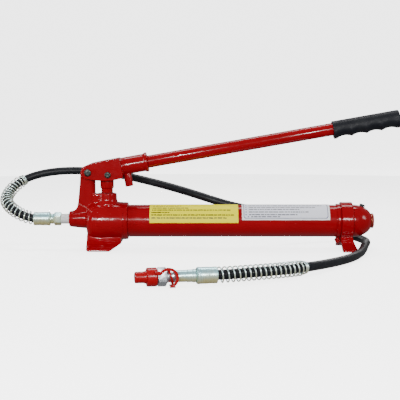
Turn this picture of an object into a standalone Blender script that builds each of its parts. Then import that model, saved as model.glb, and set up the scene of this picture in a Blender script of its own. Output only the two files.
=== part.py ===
"""Single-stage hydraulic hand pump with a hose and quick coupler. Metres, +Z up.

+X runs along the reservoir away from the head, +Y to the release-valve side.
The origin is the middle of the head foot's flat underside.
"""
import math

import bmesh
import bpy
import numpy as np
from mathutils import Euler, Matrix, Vector

MM = 0.001
GAP = 0.3

# reservoir and head
TUBE_Z = 50.0
TUBE_R = 28.5
TUBE_WALL = 3.0
HEAD_R = 34.0
HEAD_LEFT = -22.8
HEAD_RIGHT = 50.0
PORT_Z = 53.5
PORT_X = -54.8
TIE_R = 4.0

# plunger and lever
PLUNGER_X = 12.5
PLUNGER_R = 10.2
BOSS_TOP = 99.5
PIVOT = (-19.5, 136.5)
PIN2 = (15.5, 132.5)
PIN1_R = 4.9
PIN2_R = 4.5
LEVER_TILT = 10.0
CHEEK_IN = 12.5
CHEEK_OUT = 20.5
SOCKET_R = 15.6
SOCKET_END = 106.0
HANDLE_R = 11.1
GRIP_FROM = 437.5
GRIP_TO = 557.0

# rear end
CAP_X = 446.6
CAP_R = 28.7
BAND_X0 = 426.0
BAND_X1 = 446.8
DOME_X1 = 481.0
FILLER_X = 464.8

# hose and its ends
HOSE_R = 7.25
GUARD_LEN = 155.0
GUARD_R = 10.8
GUARD_WIRE = 1.0
GUARD_PITCH = 8.3
FERRULE_R = 11.8
END_A = (-118.0, 0.0, 53.5)
END_B = (201.0, -366.5, 13.9)
DIR_B = (-0.98119, -0.19304, 0.0)

HOSE_ROUTE = [
    (-55, 0, 53.5), (-95.5, 0, 53.5), (-123, 0, 53.5), (-148.7, 4.6, 63.1),
    (-173.7, 27.5, 77.9), (-179, 66.4, 92.4), (-156.9, 98.1, 118.8),
    (-100.8, 108, 133), (-36.6, 102, 133.9), (20.7, 92.7, 128.6),
    (76.1, 80, 116.7), (130.1, 58.6, 104.4), (183.4, 33.2, 90),
    (231.9, 22.1, 74.5), (283.2, 39.2, 64.4), (335, 66.7, 49.5),
    (384.6, 94.4, 33.5), (429.7, 105.8, 20.6), (467.5, 86.3, 10.1),
    (485.5, 45.1, 6.9), (470, -7.4, 8.6), (457, -69.5, 7.8),
    (439.6, -128.6, 7.8), (412.4, -181.1, 7.8), (377.5, -228.5, 8.8),
    (346, -278, 12.2), (304, -317.5, 13.0), (255, -343, 13.6),
    (213, -364.1, 13.9), (181.4, -370.3, 13.9), (155, -375.5, 13.9),
    (125, -381.4, 13.9),
]

for old in list(bpy.data.objects):
    bpy.data.objects.remove(old, do_unlink=True)

parts = bpy.data.collections.new("hydraulic_hand_pump")
tools = bpy.data.collections.new("cutters")
for group in (parts, tools):
    bpy.context.scene.collection.children.link(group)


def material(name, colour, roughness, metallic=0.0):
    made = bpy.data.materials.get(name)
    if made:
        return made
    made = bpy.data.materials.new(name)
    made.use_nodes = True
    shader = made.node_tree.nodes["Principled BSDF"]
    shader.inputs["Base Color"].default_value = (*colour, 1.0)
    shader.inputs["Roughness"].default_value = roughness
    shader.inputs["Metallic"].default_value = metallic
    made.diffuse_color = (*colour, 1.0)
    return made


def red_paint():
    return material("red_paint", (0.62, 0.02, 0.015), 0.32)


def steel():
    return material("machined_steel", (0.55, 0.56, 0.58), 0.3, 1.0)


def dark_steel():
    return material("black_oxide_steel", (0.09, 0.09, 0.1), 0.45, 1.0)


def zinc():
    return material("zinc_plated_steel", (0.72, 0.68, 0.55), 0.32, 1.0)


def rubber():
    return material("black_rubber", (0.02, 0.02, 0.022), 0.7)


def seal_rubber():
    return material("seal_rubber", (0.03, 0.03, 0.03), 0.6)


def copper():
    return material("copper", (0.72, 0.35, 0.2), 0.35, 1.0)


def frame(name, at, turn):
    """An empty that carries a group of parts; its axes are the group's axes."""
    made = bpy.data.objects.new(name, None)
    made.empty_display_size = 0.03
    parts.objects.link(made)
    made.matrix_world = Matrix.Translation(Vector(at) * MM) @ turn.to_4x4()
    return made


def keep(made, mat, cutter, axis, at, parent):
    """File an object with the parts or the cutters and put it in its place."""
    if cutter:
        tools.objects.link(made)
        made.hide_render = True
        made.display_type = "WIRE"
    else:
        parts.objects.link(made)
        made.data.materials.append(mat)
    if parent:
        made.parent = parent
    turn = Vector((0, 0, 1)).rotation_difference(Vector(axis))
    made.location = Vector(at) * MM
    made.rotation_mode = "QUATERNION"
    made.rotation_quaternion = turn
    return made


def solid(name, bm, mat, cutter=False, axis=(0, 0, 1), at=(0, 0, 0), parent=None, smooth=True):
    """Turn a bmesh, in millimetres, into a scene object in metres."""
    bmesh.ops.recalc_face_normals(bm, faces=bm.faces)
    bmesh.ops.scale(bm, vec=(MM, MM, MM), verts=bm.verts)
    mesh = bpy.data.meshes.new(name)
    bm.to_mesh(mesh)
    bm.free()
    if smooth:
        mesh.shade_smooth()
        mesh.set_sharp_from_angle(angle=math.radians(35))
    return keep(bpy.data.objects.new(name, mesh), mat, cutter, axis, at, parent)


def turned(name, profile, mat, axis=(0, 0, 1), at=(0, 0, 0), steps=24, cutter=False,
           parent=None):
    """A turned piece: (radius, distance along the axis) pairs round its section."""
    mesh = bpy.data.meshes.new(name)
    count = len(profile)
    on_axis = profile[0][0] == 0 and profile[-1][0] == 0
    edges = [(i, (i + 1) % count) for i in range(count - (1 if on_axis else 0))]
    mesh.from_pydata([(r * MM, 0, s * MM) for r, s in profile], edges, [])
    made = keep(bpy.data.objects.new(name, mesh), mat, cutter, axis, at, parent)
    mod = made.modifiers.new("turn", "SCREW")
    mod.angle = math.tau
    mod.steps = steps
    mod.render_steps = steps
    mod.use_merge_vertices = True
    mod.merge_threshold = 0.00001
    mod.use_smooth_shade = True
    area = sum(a[0] * b[1] - b[0] * a[1] for a, b in zip(profile, profile[1:] + profile[:1]))
    mod.use_normal_flip = area > 0
    return made


def rod(name, radius, low, high, mat, axis=(0, 0, 1), at=(0, 0, 0), steps=24, cutter=False,
        parent=None):
    bm = bmesh.new()
    bmesh.ops.create_cone(bm, cap_ends=True, segments=steps, radius1=radius, radius2=radius,
                          depth=high - low)
    bmesh.ops.translate(bm, vec=(0, 0, (high + low) / 2), verts=bm.verts)
    return solid(name, bm, mat, cutter, axis, at, parent)


def ring(name, inner, outer, low, high, mat, axis=(0, 0, 1), at=(0, 0, 0), steps=24,
         parent=None):
    outline = [(inner, low), (outer, low), (outer, high), (inner, high)]
    return turned(name, outline, mat, axis, at, steps, False, parent)


def slab(name, outline, plane, low, high, mat, cutter=False, smooth=False, parent=None):
    """A flat outline given a thickness along the axis its plane leaves out."""
    curve = bpy.data.curves.new(name, "CURVE")
    curve.dimensions = "2D"
    curve.fill_mode = "BOTH"
    curve.extrude = (high - low) / 2 * MM
    edge = curve.splines.new("POLY")
    edge.points.add(len(outline) - 1)
    for point, (a, b) in zip(edge.points, outline):
        point.co = (a * MM, b * MM, 0, 1)
    edge.use_cyclic_u = True
    drawn = bpy.data.objects.new(name + "_outline", curve)
    tools.objects.link(drawn)
    bpy.context.view_layer.update()
    seen = bpy.context.evaluated_depsgraph_get()
    mesh = bpy.data.meshes.new_from_object(drawn.evaluated_get(seen))
    bpy.data.objects.remove(drawn)
    bm = bmesh.new()
    bm.from_mesh(mesh)
    bmesh.ops.remove_doubles(bm, verts=bm.verts, dist=0.00001)
    bmesh.ops.recalc_face_normals(bm, faces=bm.faces)
    bm.to_mesh(mesh)
    bm.free()
    if smooth:
        mesh.shade_smooth()
        mesh.set_sharp_from_angle(angle=math.radians(35))
    made = keep(bpy.data.objects.new(name, mesh), mat, cutter, (0, 0, 1), (0, 0, 0), parent)
    middle = (high + low) / 2 * MM
    if plane == "XZ":
        made.location = (0, middle, 0)
        made.rotation_quaternion = Euler((math.radians(90), 0, 0)).to_quaternion()
    else:
        made.location = (middle, 0, 0)
        made.rotation_quaternion = Euler((math.radians(90), 0, math.radians(90))).to_quaternion()
    return made


def arc(cx, cz, radius, start, stop, count):
    angles = [math.radians(start + (stop - start) * i / count) for i in range(count + 1)]
    return [(cx + radius * math.cos(a), cz + radius * math.sin(a)) for a in angles]


def combine(target, other, how):
    mod = target.modifiers.new(how.lower() + "_" + other.name, "BOOLEAN")
    mod.object = other
    mod.operation = how
    mod.solver = "EXACT"


def cut(target, *others):
    for other in others:
        combine(target, other, "DIFFERENCE")


def join(target, *others):
    for other in others:
        combine(target, other, "UNION")


def bevel(target, width, segments=1, angle=40):
    mod = target.modifiers.new("edges", "BEVEL")
    mod.width = width * MM
    mod.segments = segments
    mod.limit_method = "ANGLE"
    mod.angle_limit = math.radians(angle)


def wire(name, points, radius, mat, resolution=1):
    """A round wire through points, in millimetres."""
    curve = bpy.data.curves.new(name, "CURVE")
    curve.dimensions = "3D"
    curve.bevel_depth = radius * MM
    curve.bevel_resolution = resolution
    curve.use_fill_caps = True
    line = curve.splines.new("POLY")
    line.points.add(len(points) - 1)
    for point, at in zip(line.points, points):
        point.co = (at[0] * MM, at[1] * MM, at[2] * MM, 1.0)
    made = bpy.data.objects.new(name, curve)
    parts.objects.link(made)
    made.data.materials.append(mat)
    return made


def hex_bar(name, across_flats, low, high, mat, axis, at, cutter=False, parent=None):
    bm = bmesh.new()
    size = across_flats / math.sqrt(3)
    bmesh.ops.create_cone(bm, cap_ends=True, segments=6, radius1=size, radius2=size,
                          depth=high - low)
    bmesh.ops.translate(bm, vec=(0, 0, (high + low) / 2), verts=bm.verts)
    return solid(name, bm, mat, cutter, axis, at, parent, smooth=False)


def coil_spring(name, radius, thick, low, high, turns, mat, axis, at):
    """A small compression spring standing along an axis."""
    per_turn = 10
    count = int(turns * per_turn)
    turn = Vector((0, 0, 1)).rotation_difference(Vector(axis))
    points = []
    for i in range(count + 1):
        angle = math.tau * i / per_turn
        along = low + thick + (high - low - 2 * thick) * i / count
        spot = Vector((radius * math.cos(angle), radius * math.sin(angle), along))
        points.append(turn @ spot + Vector(at))
    return wire(name, points, thick, mat, 0)


# ---------------------------------------------------------------- pump head

def head_body():
    red = red_paint()
    barrel = turned("pump_head", [
        (0, HEAD_LEFT), (22, HEAD_LEFT), (27, HEAD_LEFT + 1.6), (31, HEAD_LEFT + 5.2),
        (33.2, HEAD_LEFT + 10), (HEAD_R, HEAD_LEFT + 15), (HEAD_R, 41), (33.2, 42),
        (33.2, 43.2), (HEAD_R, 44.2), (HEAD_R, 47), (33, 49), (30.8, HEAD_RIGHT),
        (0, HEAD_RIGHT)], red, (1, 0, 0), (0, 0, TUBE_Z), 32)
    boss = turned("boss_body", [
        (0, 45), (20.5, 45), (20.5, 82), (18.4, 84.6), (17.4, 88), (16.8, 98.2),
        (15.8, BOSS_TOP), (0, BOSS_TOP)], red, (0, 0, 1), (PLUNGER_X, 0, 0), 28, True)
    post = [(-8.2, 60), (-8.2, PIVOT[1])]
    post += arc(-20.8, PIVOT[1], 12.6, 15, 165, 8)
    post += [(-33.6, PIVOT[1]), (-34.3, 122), (-35.4, 110), (-36.6, 98),
             (-37.8, 86), (-39.6, 76), (-43.2, 70.5), (-49.5, 66.5), (-49.5, 45)]
    post = slab("post_body", post, "XZ", -12, 12, red, True)
    bevel(post, 1.6, 2, 50)
    shelf = slab("shelf_body", [(-12, 60), (4, 60), (4, 98.3), (-12, 98.3)],
                 "XZ", -11.2, 11.2, red, True)
    port = turned("port_body", [
        (0, -10), (17.5, -10), (16.5, -30), (14.6, -48), (13.6, -53.4),
        (12.2, PORT_X), (0, PORT_X)], red, (1, 0, 0), (0, 0, PORT_Z), 24, True)
    skirt = [(42, 0), (42, 3.4), (36.5, 6.6), (28.5, 12), (21.5, 19), (18, 28)]
    skirt += [(-y, z) for y, z in reversed(skirt)]
    foot = slab("foot_body", skirt, "YZ", -22.2, 38.5, red, True)
    corner = [(18.5, -5), (60, -5), (60, 18), (44, 15.6), (18.5, 0)]
    cut(foot, slab("cut_foot_corner", corner, "XZ", -60, 60, None, True))
    heel = [(-30, -5), (-18.5, -5), (-18.5, 0), (-21.2, 2.4), (-22.2, 8), (-30, 8)]
    cut(foot, slab("cut_foot_heel", heel, "XZ", -60, 60, None, True))
    join(barrel, foot, boss, post, shelf, port)
    return barrel


def head_cuts(head):
    def bore(name, profile, axis, at, steps=20):
        return turned(name, profile, None, axis, at, steps, True)

    up, along, back = (0, 0, 1), (1, 0, 0), (0, 1, 0)
    plunger = bore("cut_plunger", [
        (0, 30), (12, 30), (12, 62), (PLUNGER_R + GAP, 64), (PLUNGER_R + GAP, 84),
        (14, 84), (14, 110), (0, 110)], up, (PLUNGER_X, 0, 0), 26)
    outlet = bore("cut_outlet", [
        (0, -60), (8.3, -60), (8.3, -40.6), (5.6, -40.6), (5.6, -24), (3, -24),
        (3, 6), (0, 6)], along, (0, 0, PORT_Z))
    intake = bore("cut_intake", [
        (0, 18), (1.8, 18), (1.8, 25.4), (5, 25.4), (5, 37), (0, 37)], along, (0, 0, 36))
    seat = bore("cut_tube_seat", [(0, 36), (TUBE_R + GAP, 36), (TUBE_R + GAP, 60), (0, 60)],
                along, (0, 0, TUBE_Z), 36)
    tie = bore("cut_tie", [(0, 27), (TIE_R + GAP, 27), (TIE_R + GAP, 37), (0, 37)],
               along, (0, 0, TUBE_Z))
    release = bore("cut_release", [
        (0, 1), (1.8, 1), (1.8, 10), (4.4, 10), (4.4, 40), (0, 40)], back,
        (-13.5, 0, PORT_Z))
    face = bore("cut_release_face", [(0, 33.2), (9.5, 33.2), (9.5, 45), (0, 45)], back,
                (-13.5, 0, PORT_Z))
    relief = bore("cut_relief", [
        (0, 8), (1.5, 8), (1.5, 16), (4.4, 16), (4.4, 40), (0, 40)], back,
        (PLUNGER_X, 0, 42))
    back_a = bore("cut_return", [(0, -13), (1.5, -13), (1.5, 37), (0, 37)], along,
                  (0, 18, PORT_Z), 10)
    back_b = bore("cut_relief_return", [(0, 14), (1.5, 14), (1.5, 37), (0, 37)], along,
                  (0, 20.5, 42), 10)
    pin = bore("cut_pin", [(0, -15), (PIN1_R + 0.2, -15), (PIN1_R + 0.2, 15), (0, 15)],
               back, (PIVOT[0], 0, PIVOT[1]), 24)
    cut(head, seat, plunger, outlet, intake, tie, release, face, relief, back_a, back_b, pin)


def head_parts():
    head = head_body()
    head_cuts(head)
    up, back, along = (0, 0, 1), (0, 1, 0), (1, 0, 0)
    at = (PLUNGER_X, 0, 0)
    ring("plunger_seal", PLUNGER_R + 0.25, 13.7, 84.3, 89.6, seal_rubber(), up, at)
    turned("gland_nut", [
        (PLUNGER_R + 0.4, 89.9), (13.7, 89.9), (13.7, 99.2), (13.1, 99.8), (12.4, 99.8),
        (12.4, 95.4), (PLUNGER_R + 0.4, 95.4)], red_paint(), up, at)
    turned("plunger_wiper", [
        (PLUNGER_R + 0.25, 95.7), (12.1, 95.7), (12.1, 98.4), (11.1, 100.3),
        (PLUNGER_R + 0.25, 100.3)], seal_rubber(), up, at)
    ball("intake_ball", 2.5, (28.3, 0, 36))
    turned("intake_seat", [
        (1.5, 30.6), (2.2, 29.9), (4.7, 29.9), (4.7, 35.8), (3.3, 35.8), (3.3, 33),
        (1.5, 33)], steel(), along, (0, 0, 36), 16)
    ball("outlet_ball", 4.0, (-26.9, 0, PORT_Z))
    coil_spring("outlet_spring", 3.6, 0.45, -40.2, -31.2, 4, steel(), along, (0, 0, PORT_Z))
    release_valve(back)
    ball("relief_ball", 2.2, (PLUNGER_X, 17.9, 42))
    coil_spring("relief_spring", 2.9, 0.45, 20.4, 25.6, 3, steel(), back, (PLUNGER_X, 0, 42))
    screw = turned("relief_screw", [(0, 25.9), (4.1, 25.9), (4.1, 31.2), (0, 31.2)],
                   dark_steel(), back, (PLUNGER_X, 0, 42), 16)
    cut(screw, hex_bar("cut_relief_key", 4, 28, 34, None, back, (PLUNGER_X, 0, 42), True))


def ball(name, radius, at):
    bm = bmesh.new()
    bmesh.ops.create_uvsphere(bm, u_segments=8, v_segments=6, radius=radius)
    return solid(name, bm, steel(), at=at)


def release_valve(back):
    at = (-13.5, 0, PORT_Z)
    ball("release_ball", 2.4, (-13.5, 12.1, PORT_Z))
    turned("release_stem", [
        (0, 14.8), (3.2, 14.8), (4.1, 15.8), (4.1, 22.8), (2.9, 22.8), (2.9, 25.2),
        (4.1, 25.2), (4.1, 38.4), (3.3, 39), (3.3, 52), (0, 52)], steel(), back, at, 16)
    ring("release_o_ring", 3.1, 4.2, 23.1, 24.9, seal_rubber(), back, at, 16)
    outline = [(3.5, 39.4), (8.5, 39.4), (9.5, 41), (9.5, 44), (14.5, 46), (15.4, 47.6),
               (15.4, 56.4), (14.2, 58), (0, 58), (0, 52.4), (3.5, 52.4)]
    knob = turned("release_knob", outline, dark_steel(), back, at, 24)
    for i in range(6):
        angle = math.tau * i / 6
        spot = (at[0] + 17.4 * math.cos(angle), 0, at[2] + 17.4 * math.sin(angle))
        cut(knob, rod("cut_grip_%d" % i, 3.4, 44.5, 60, None, back, spot, 8, True))


# ---------------------------------------------------------------- plunger

def plunger_parts():
    up, back = (0, 0, 1), (0, 1, 0)
    plunger = turned("plunger", [
        (0, 50), (9.2, 50), (PLUNGER_R, 51), (PLUNGER_R, 107.6), (11.4, 108.4),
        (12, 110), (12, 143.6), (0, 143.6)], red_paint(), up, (PLUNGER_X, 0, 0), 28)
    crown = [(-2, 134)] + arc(PLUNGER_X, 132.2, 11.2, 170, 10, 8) + [(27, 134), (27, 150), (-2, 150)]
    cut(plunger, slab("cut_crown", crown, "XZ", -15, 15, None, True))
    high, low = PIN2[1] + 5.2, PIN2[1] - 5.2
    left, right = PLUNGER_X - 1.9, PLUNGER_X + 3.3
    slot = arc(right, PIN2[1], 5.2, -90, 90, 8) + arc(left, PIN2[1], 5.2, 90, 270, 8)
    cut(plunger, slab("cut_slot", slot, "XZ", -15, 15, None, True))


# ---------------------------------------------------------------- lever

def pin2_local():
    dx, dz = PIN2[0] - PIVOT[0], PIN2[1] - PIVOT[1]
    t = math.radians(LEVER_TILT)
    return dx * math.cos(t) + dz * math.sin(t), dz * math.cos(t) - dx * math.sin(t)


def pin(name, radius, head, centre, lever):
    return turned(name, [
        (0, -24.2), (head - 0.8, -24.2), (head, -23.4), (head, -20.8), (radius, -20.8),
        (radius, 21.0), (radius - 0.9, 21.0), (radius - 0.9, 22.6), (radius, 22.6),
        (radius, 23.6), (radius - 0.8, 24.4), (0, 24.4)], dark_steel(), (0, 1, 0),
        (centre[0], 0, centre[1]), 24, False, lever)


def clip(name, radius, centre, lever):
    outer = arc(centre[0], centre[1], radius + 2.6, -60, 240, 14)
    inner = arc(centre[0], centre[1], radius - 0.6, 240, -60, 14)
    return slab(name, outer + inner, "XZ", 21.3, 22.3, steel(), parent=lever)


def lever_parts():
    """Everything that swings with the handle; +X runs out along the handle."""
    red = red_paint()
    lever = frame("lever_axis", (PIVOT[0], 0, PIVOT[1]),
                  Matrix.Rotation(-math.radians(LEVER_TILT), 3, "Y"))
    second = pin2_local()
    socket(red, lever, second)
    pin("fulcrum_pin", PIN1_R, 6.1, (0, 0), lever)
    pin("plunger_pin", PIN2_R, 5.5, second, lever)
    clip("fulcrum_pin_clip", PIN1_R, (0, 0), lever)
    clip("plunger_pin_clip", PIN2_R, second, lever)
    turned("socket_lock_peg", [
        (0, -37), (5.6, -37), (6.3, -36), (6.3, -17.6), (5.8, -16.1), (3.8, -16.1),
        (3.8, -6), (0, -6)], red, (0, 0, 1), (66.4, 0, 0), 16, False, lever)
    ring("handle_tube", HANDLE_R - 2.2, HANDLE_R, 74.4, 540, red, (1, 0, 0), (0, 0, 0), 24,
         lever)
    grip(lever)


def socket(red, lever, second):
    along, across = (1, 0, 0), (0, 1, 0)
    side = [(-11, -6), (-12, 0), (-10.6, 6), (-6.4, 11.4), (0, 14.6), (8, 15.6),
            (56.5, 16.2), (59, 14.5), (59.6, 10), (59.6, -17), (57.8, -20.3), (40, -21),
            (24.7, -19.3), (10, -15.6), (2.9, -13), (-6, -10)]
    made = slab("handle_socket", side, "XZ", -CHEEK_OUT, CHEEK_OUT, red, parent=lever)
    bevel(made, 1.6, 2, 60)
    inside = [(-20, -30), (54, -30), (54, 8), (48, 30), (-20, 30)]
    cut(made, slab("cut_between", inside, "XZ", -CHEEK_IN, CHEEK_IN, None, True, parent=lever))
    join(made, turned("socket_body", [
        (0, 55), (14.8, 55), (SOCKET_R, 64), (SOCKET_R, 99.5), (17.3, 101.5), (17.3, 105),
        (16.6, SOCKET_END), (0, SOCKET_END)], red, along, (0, 0, 0), 28, True, lever))
    cut(made, rod("cut_socket", HANDLE_R + GAP, 74, 120, None, along, (0, 0, 0), 28, True, lever))
    cut(made, rod("cut_peg", 4.1, -30, -5.6, None, (0, 0, 1), (66.4, 0, 0), 16, True, lever))
    cut(made, rod("cut_pin_a", PIN1_R + 0.15, -30, 30, None, across, (0, 0, 0), 24, True, lever))
    cut(made, rod("cut_pin_b", PIN2_R + 0.15, -30, 30, None, across, (second[0], 0, second[1]),
                  24, True, lever))


def grip(lever):
    """A rubber grip: round on top, four finger scallops underneath."""
    rows, around = 27, 16
    bm = bmesh.new()
    rings = []
    for i in range(rows + 1):
        u = GRIP_FROM + (GRIP_TO - GRIP_FROM) * i / rows
        phase = (u - GRIP_FROM - 5) / 26.8
        cusp = abs(math.cos(math.pi * phase)) ** 1.6 if 0 <= phase <= 4.05 else 1.0
        trim = 0.8 if i in (0, rows) else 0
        loop = []
        for j in range(around):
            angle = math.tau * j / around
            under = max(0.0, -math.sin(angle)) ** 0.8
            radius = 14.2 + 3.6 * cusp * under - trim
            loop.append(bm.verts.new((u, radius * math.cos(angle), radius * math.sin(angle))))
        rings.append(loop)
    for low, high in zip(rings, rings[1:]):
        bmesh.ops.bridge_loops(bm, edges=loop_edges(bm, low) + loop_edges(bm, high))
    bmesh.ops.contextual_create(bm, geom=loop_edges(bm, rings[0]))
    bmesh.ops.contextual_create(bm, geom=loop_edges(bm, rings[-1]))
    made = solid("handle_grip", bm, rubber(), parent=lever)
    cut(made, rod("cut_grip_bore", HANDLE_R + GAP, 400, 540.5, None, (1, 0, 0), (0, 0, 0), 24,
                  True, lever))


def loop_edges(bm, loop):
    found = []
    for a, b in zip(loop, loop[1:] + loop[:1]):
        found.append(bm.edges.get((a, b)) or bm.edges.new((a, b)))
    return found


# ---------------------------------------------------------------- reservoir

def reservoir_parts():
    red = red_paint()
    along = (1, 0, 0)
    at = (0, 0, TUBE_Z)
    ring("reservoir_tube", TUBE_R - TUBE_WALL, TUBE_R, 38.2, 445.0, red, along, at, 40)
    ring("tube_gasket_front", TUBE_R - TUBE_WALL, TUBE_R, 36.3, 37.9, seal_rubber(), along, at, 24)
    ring("tube_gasket_rear", TUBE_R - TUBE_WALL, TUBE_R, 445.2, CAP_X - 0.2, seal_rubber(), along, at, 24)
    rod("tie_rod", TIE_R, 27.4, 480.2, steel(), along, at, 16)
    ring("suction_tube", 2.0, 3.0, 33.3, 392, zinc(), along, (0, 0, 36), 12)
    turned("suction_strainer", [
        (0, 402.8), (5.8, 402.8), (5.8, 386), (3.3, 386), (3.3, 384), (6.6, 384),
        (7, 385), (7, 403), (6, 404), (0, 404)], material("brass", (0.7, 0.5, 0.2), 0.35, 1.0),
        along, (0, 0, 36), 14)
    end_cap(red, along, at)
    rear_foot(red, along, at)
    tube_clamp(red, along, at)


def end_cap(red, along, at):
    base = CAP_X + 3.2
    dome = [(25.2, 430), (25.2, CAP_X), (CAP_R, CAP_X), (CAP_R, base)]
    for i in range(1, 6):
        a = math.radians(63 * i / 5)
        dome.append((CAP_R * math.cos(a), base + 34.5 * math.sin(a)))
    dome += [(12, DOME_X1), (8.4, DOME_X1), (8.4, DOME_X1 - 5)]
    for i in range(3, 0, -1):
        a = math.radians(60 * i / 3)
        dome.append((22.6 * math.cos(a), base + 29 * math.sin(a)))
    dome += [(22.2, base), (22.2, 430)]
    cap = turned("end_cap", dome, red, along, at, 36)
    lean = math.radians(21.5)
    axis = (math.sin(lean), 0, math.cos(lean))
    at = (FILLER_X, 0, 75.7)
    cut(cap, rod("cut_filler", 3.7, -12, 6, None, axis, at, 16, True))
    cut(cap, turned("cut_spot_face", [(0, -0.9), (6.4, -0.9), (6.4, 4), (0, 4)], None,
                    axis, at, 16, True))
    turned("end_plug", [
        (0, 485.4), (12.4, 485.4), (13.4, 484.4), (13.4, 482.3), (8, 482.3), (8, 471),
        (TIE_R + GAP, 471), (TIE_R + GAP, 481), (0, 481)], red, along, (0, 0, TUBE_Z), 28)
    ring("end_plug_washer", 8.4, 12.2, 481.3, 482.0, copper(), along, (0, 0, TUBE_Z), 24)
    turned("filler_plug", [
        (0, -7.5), (2.8, -7.5), (3.4, -6.8), (3.4, 0.5), (4.9, 0.5), (4.9, 3.2), (4.1, 4.3),
        (0, 4.3)], rubber(), axis, at, 16)
    ring("filler_washer", 3.8, 5.6, -0.6, 0.2, seal_rubber(), axis, at, 16)


def rear_foot(red, along, at):
    foot = ring("rear_foot", 26, 33.4, BAND_X0, BAND_X1, red, along, at, 40)
    leg = [(52, 0), (52, 3.2), (46.5, 4.6), (30, 12.6), (18, 24), (-18, 24), (-30, 12.6),
           (-46.5, 4.6), (-52, 3.2), (-52, 0), (-38, 0), (-18, 10.8), (18, 10.8), (38, 0)]
    legs = slab("legs", leg, "YZ", BAND_X0, BAND_X1 + 5, red, True)
    flare = [(BAND_X1, 30), (BAND_X1, 19), (BAND_X1 + 3, 9), (BAND_X1 + 5, 3),
             (BAND_X1 + 9, 3), (BAND_X1 + 9, 30)]
    cut(legs, slab("cut_flare", flare, "XZ", -60, 60, None, True))
    bevel(legs, 0.9, 1, 50)
    join(foot, legs)
    cut(foot, rod("cut_band", TUBE_R + GAP + 0.1, 420, 460, None, along, at, 40, True))


def tube_clamp(red, along, at):
    clamp = ring("tube_clamp", TUBE_R + GAP, 30.2, 419.2, 425.4, red, along, at, 36)
    ears = slab("clamp_ears", [(-6, 10.6), (6, 10.6), (6, 24), (-6, 24)], "YZ",
                419.2, 425.4, red, True)
    cut(ears, rod("cut_ears", TUBE_R + GAP, 410, 440, None, along, at, 36, True))
    join(clamp, ears)
    cut(clamp, slab("cut_split", [(-1.5, 0), (1.5, 0), (1.5, 30), (-1.5, 30)], "YZ",
                    410, 440, None, True))
    spot = (421.6, 0, 15.0)
    cut(clamp, rod("cut_clamp_screw", 2.2, -20, 20, None, (0, 1, 0), spot, 16, True))
    turned("clamp_screw", [
        (0, -9.8), (3.2, -9.8), (4.0, -9.0), (4.0, -6.3), (1.95, -6.3), (1.95, 10.4),
        (0, 10.4)], red, (0, 1, 0), spot, 16)
    nut = hex_bar("clamp_nut", 6.4, 6.3, 9.6, red, (0, 1, 0), spot)
    cut(nut, rod("cut_nut", 2.2, 0, 20, None, (0, 1, 0), spot, 16, True))


def label(name, low, high, bottom, top, colour):
    """A thin printed sheet wrapped round the front of the reservoir."""
    inner, outer = TUBE_R + GAP, TUBE_R + GAP + 0.3
    start, stop = 180 - bottom, 180 - top
    outline = arc(0, TUBE_Z, outer, start, stop, 14) + arc(0, TUBE_Z, inner, stop, start, 14)
    return slab(name, outline, "YZ", low, high, material(name, colour, 0.4), False, True)


# ---------------------------------------------------------------- hose

def smooth_route(points, per_span=6):
    """A uniform cubic B-spline over the route points."""
    ctrl = np.array(points, float)
    found = []
    for i in range(len(ctrl) - 3):
        for j in range(per_span + (i == len(ctrl) - 4)):
            t = j / per_span
            weights = np.array([(1 - t) ** 3, 3 * t ** 3 - 6 * t * t + 4,
                                -3 * t ** 3 + 3 * t * t + 3 * t + 1, t ** 3]) / 6
            found.append(weights @ ctrl[i:i + 4])
    return np.array(found)


def lengths(line):
    return np.r_[0, np.cumsum(np.linalg.norm(np.diff(line, axis=0), axis=1))]


def at_length(line, run, where):
    return np.array([np.interp(where, run, line[:, k]) for k in range(3)])


def guard(name, line, run, start, sign):
    """A steel coil over the hose, its last turns drawn in to grip it."""
    per_turn = 8
    turns = int(GUARD_LEN / GUARD_PITCH) + 2
    points = []
    along = start + sign * (GUARD_WIRE + 1.4)
    side = None
    for i in range(turns * per_turn + 1):
        left = turns - i / per_turn
        grip_part = min(1.0, max(0.0, (3.2 - left) / 1.2))
        radius = GUARD_R - (GUARD_R - HOSE_R - GUARD_WIRE - 0.75) * grip_part
        mid = at_length(line, run, along)
        ahead = at_length(line, run, along + 2) - at_length(line, run, along - 2)
        ahead /= np.linalg.norm(ahead)
        if side is None:
            side = np.cross(ahead, (0, 0, 1))
        side = side - ahead * side.dot(ahead)
        side /= np.linalg.norm(side)
        up = np.cross(ahead, side)
        angle = sign * math.tau * i / per_turn
        points.append(mid + radius * (math.cos(angle) * side + math.sin(angle) * up))
        pitch = GUARD_PITCH if left > 2.6 else 2.5 * GUARD_WIRE
        along += sign * pitch / per_turn
    return wire(name, points, GUARD_WIRE, zinc(), 0)


def hose_parts():
    line = smooth_route(HOSE_ROUTE, 24)
    run = lengths(line)
    first = float(np.interp(-(END_A[0] + 26.5), -line[:, 0][:60], run[:60]))
    near_b = run[np.argmin(np.linalg.norm(line - np.array(END_B), axis=1))]
    last = near_b + 26.5
    count = int((last - first) / 22)
    wire("hose", [at_length(line, run, first + (last - first) * i / count)
                  for i in range(count + 1)], HOSE_R, rubber(), 2)
    near_a = float(np.interp(-END_A[0], -line[:, 0][:60], run[:60]))
    guard("spring_guard_pump", line, run, near_a, 1)
    guard("spring_guard_coupler", line, run, near_b, -1)
    pump_fitting()
    coupler_fitting()


def ferrule(name, axis, at, parent=None):
    r = FERRULE_R
    outline = [(9.3, 0), (r - 0.5, 0), (r, 0.6), (r, 24.4), (r + 0.35, 25), (r + 0.35, 27.4),
               (r - 0.5, 29), (r - 2.2, 29.6), (8.15, 29.6), (8.15, 8)]
    return turned(name, outline, zinc(), axis, at, 20, False, parent)


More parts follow.
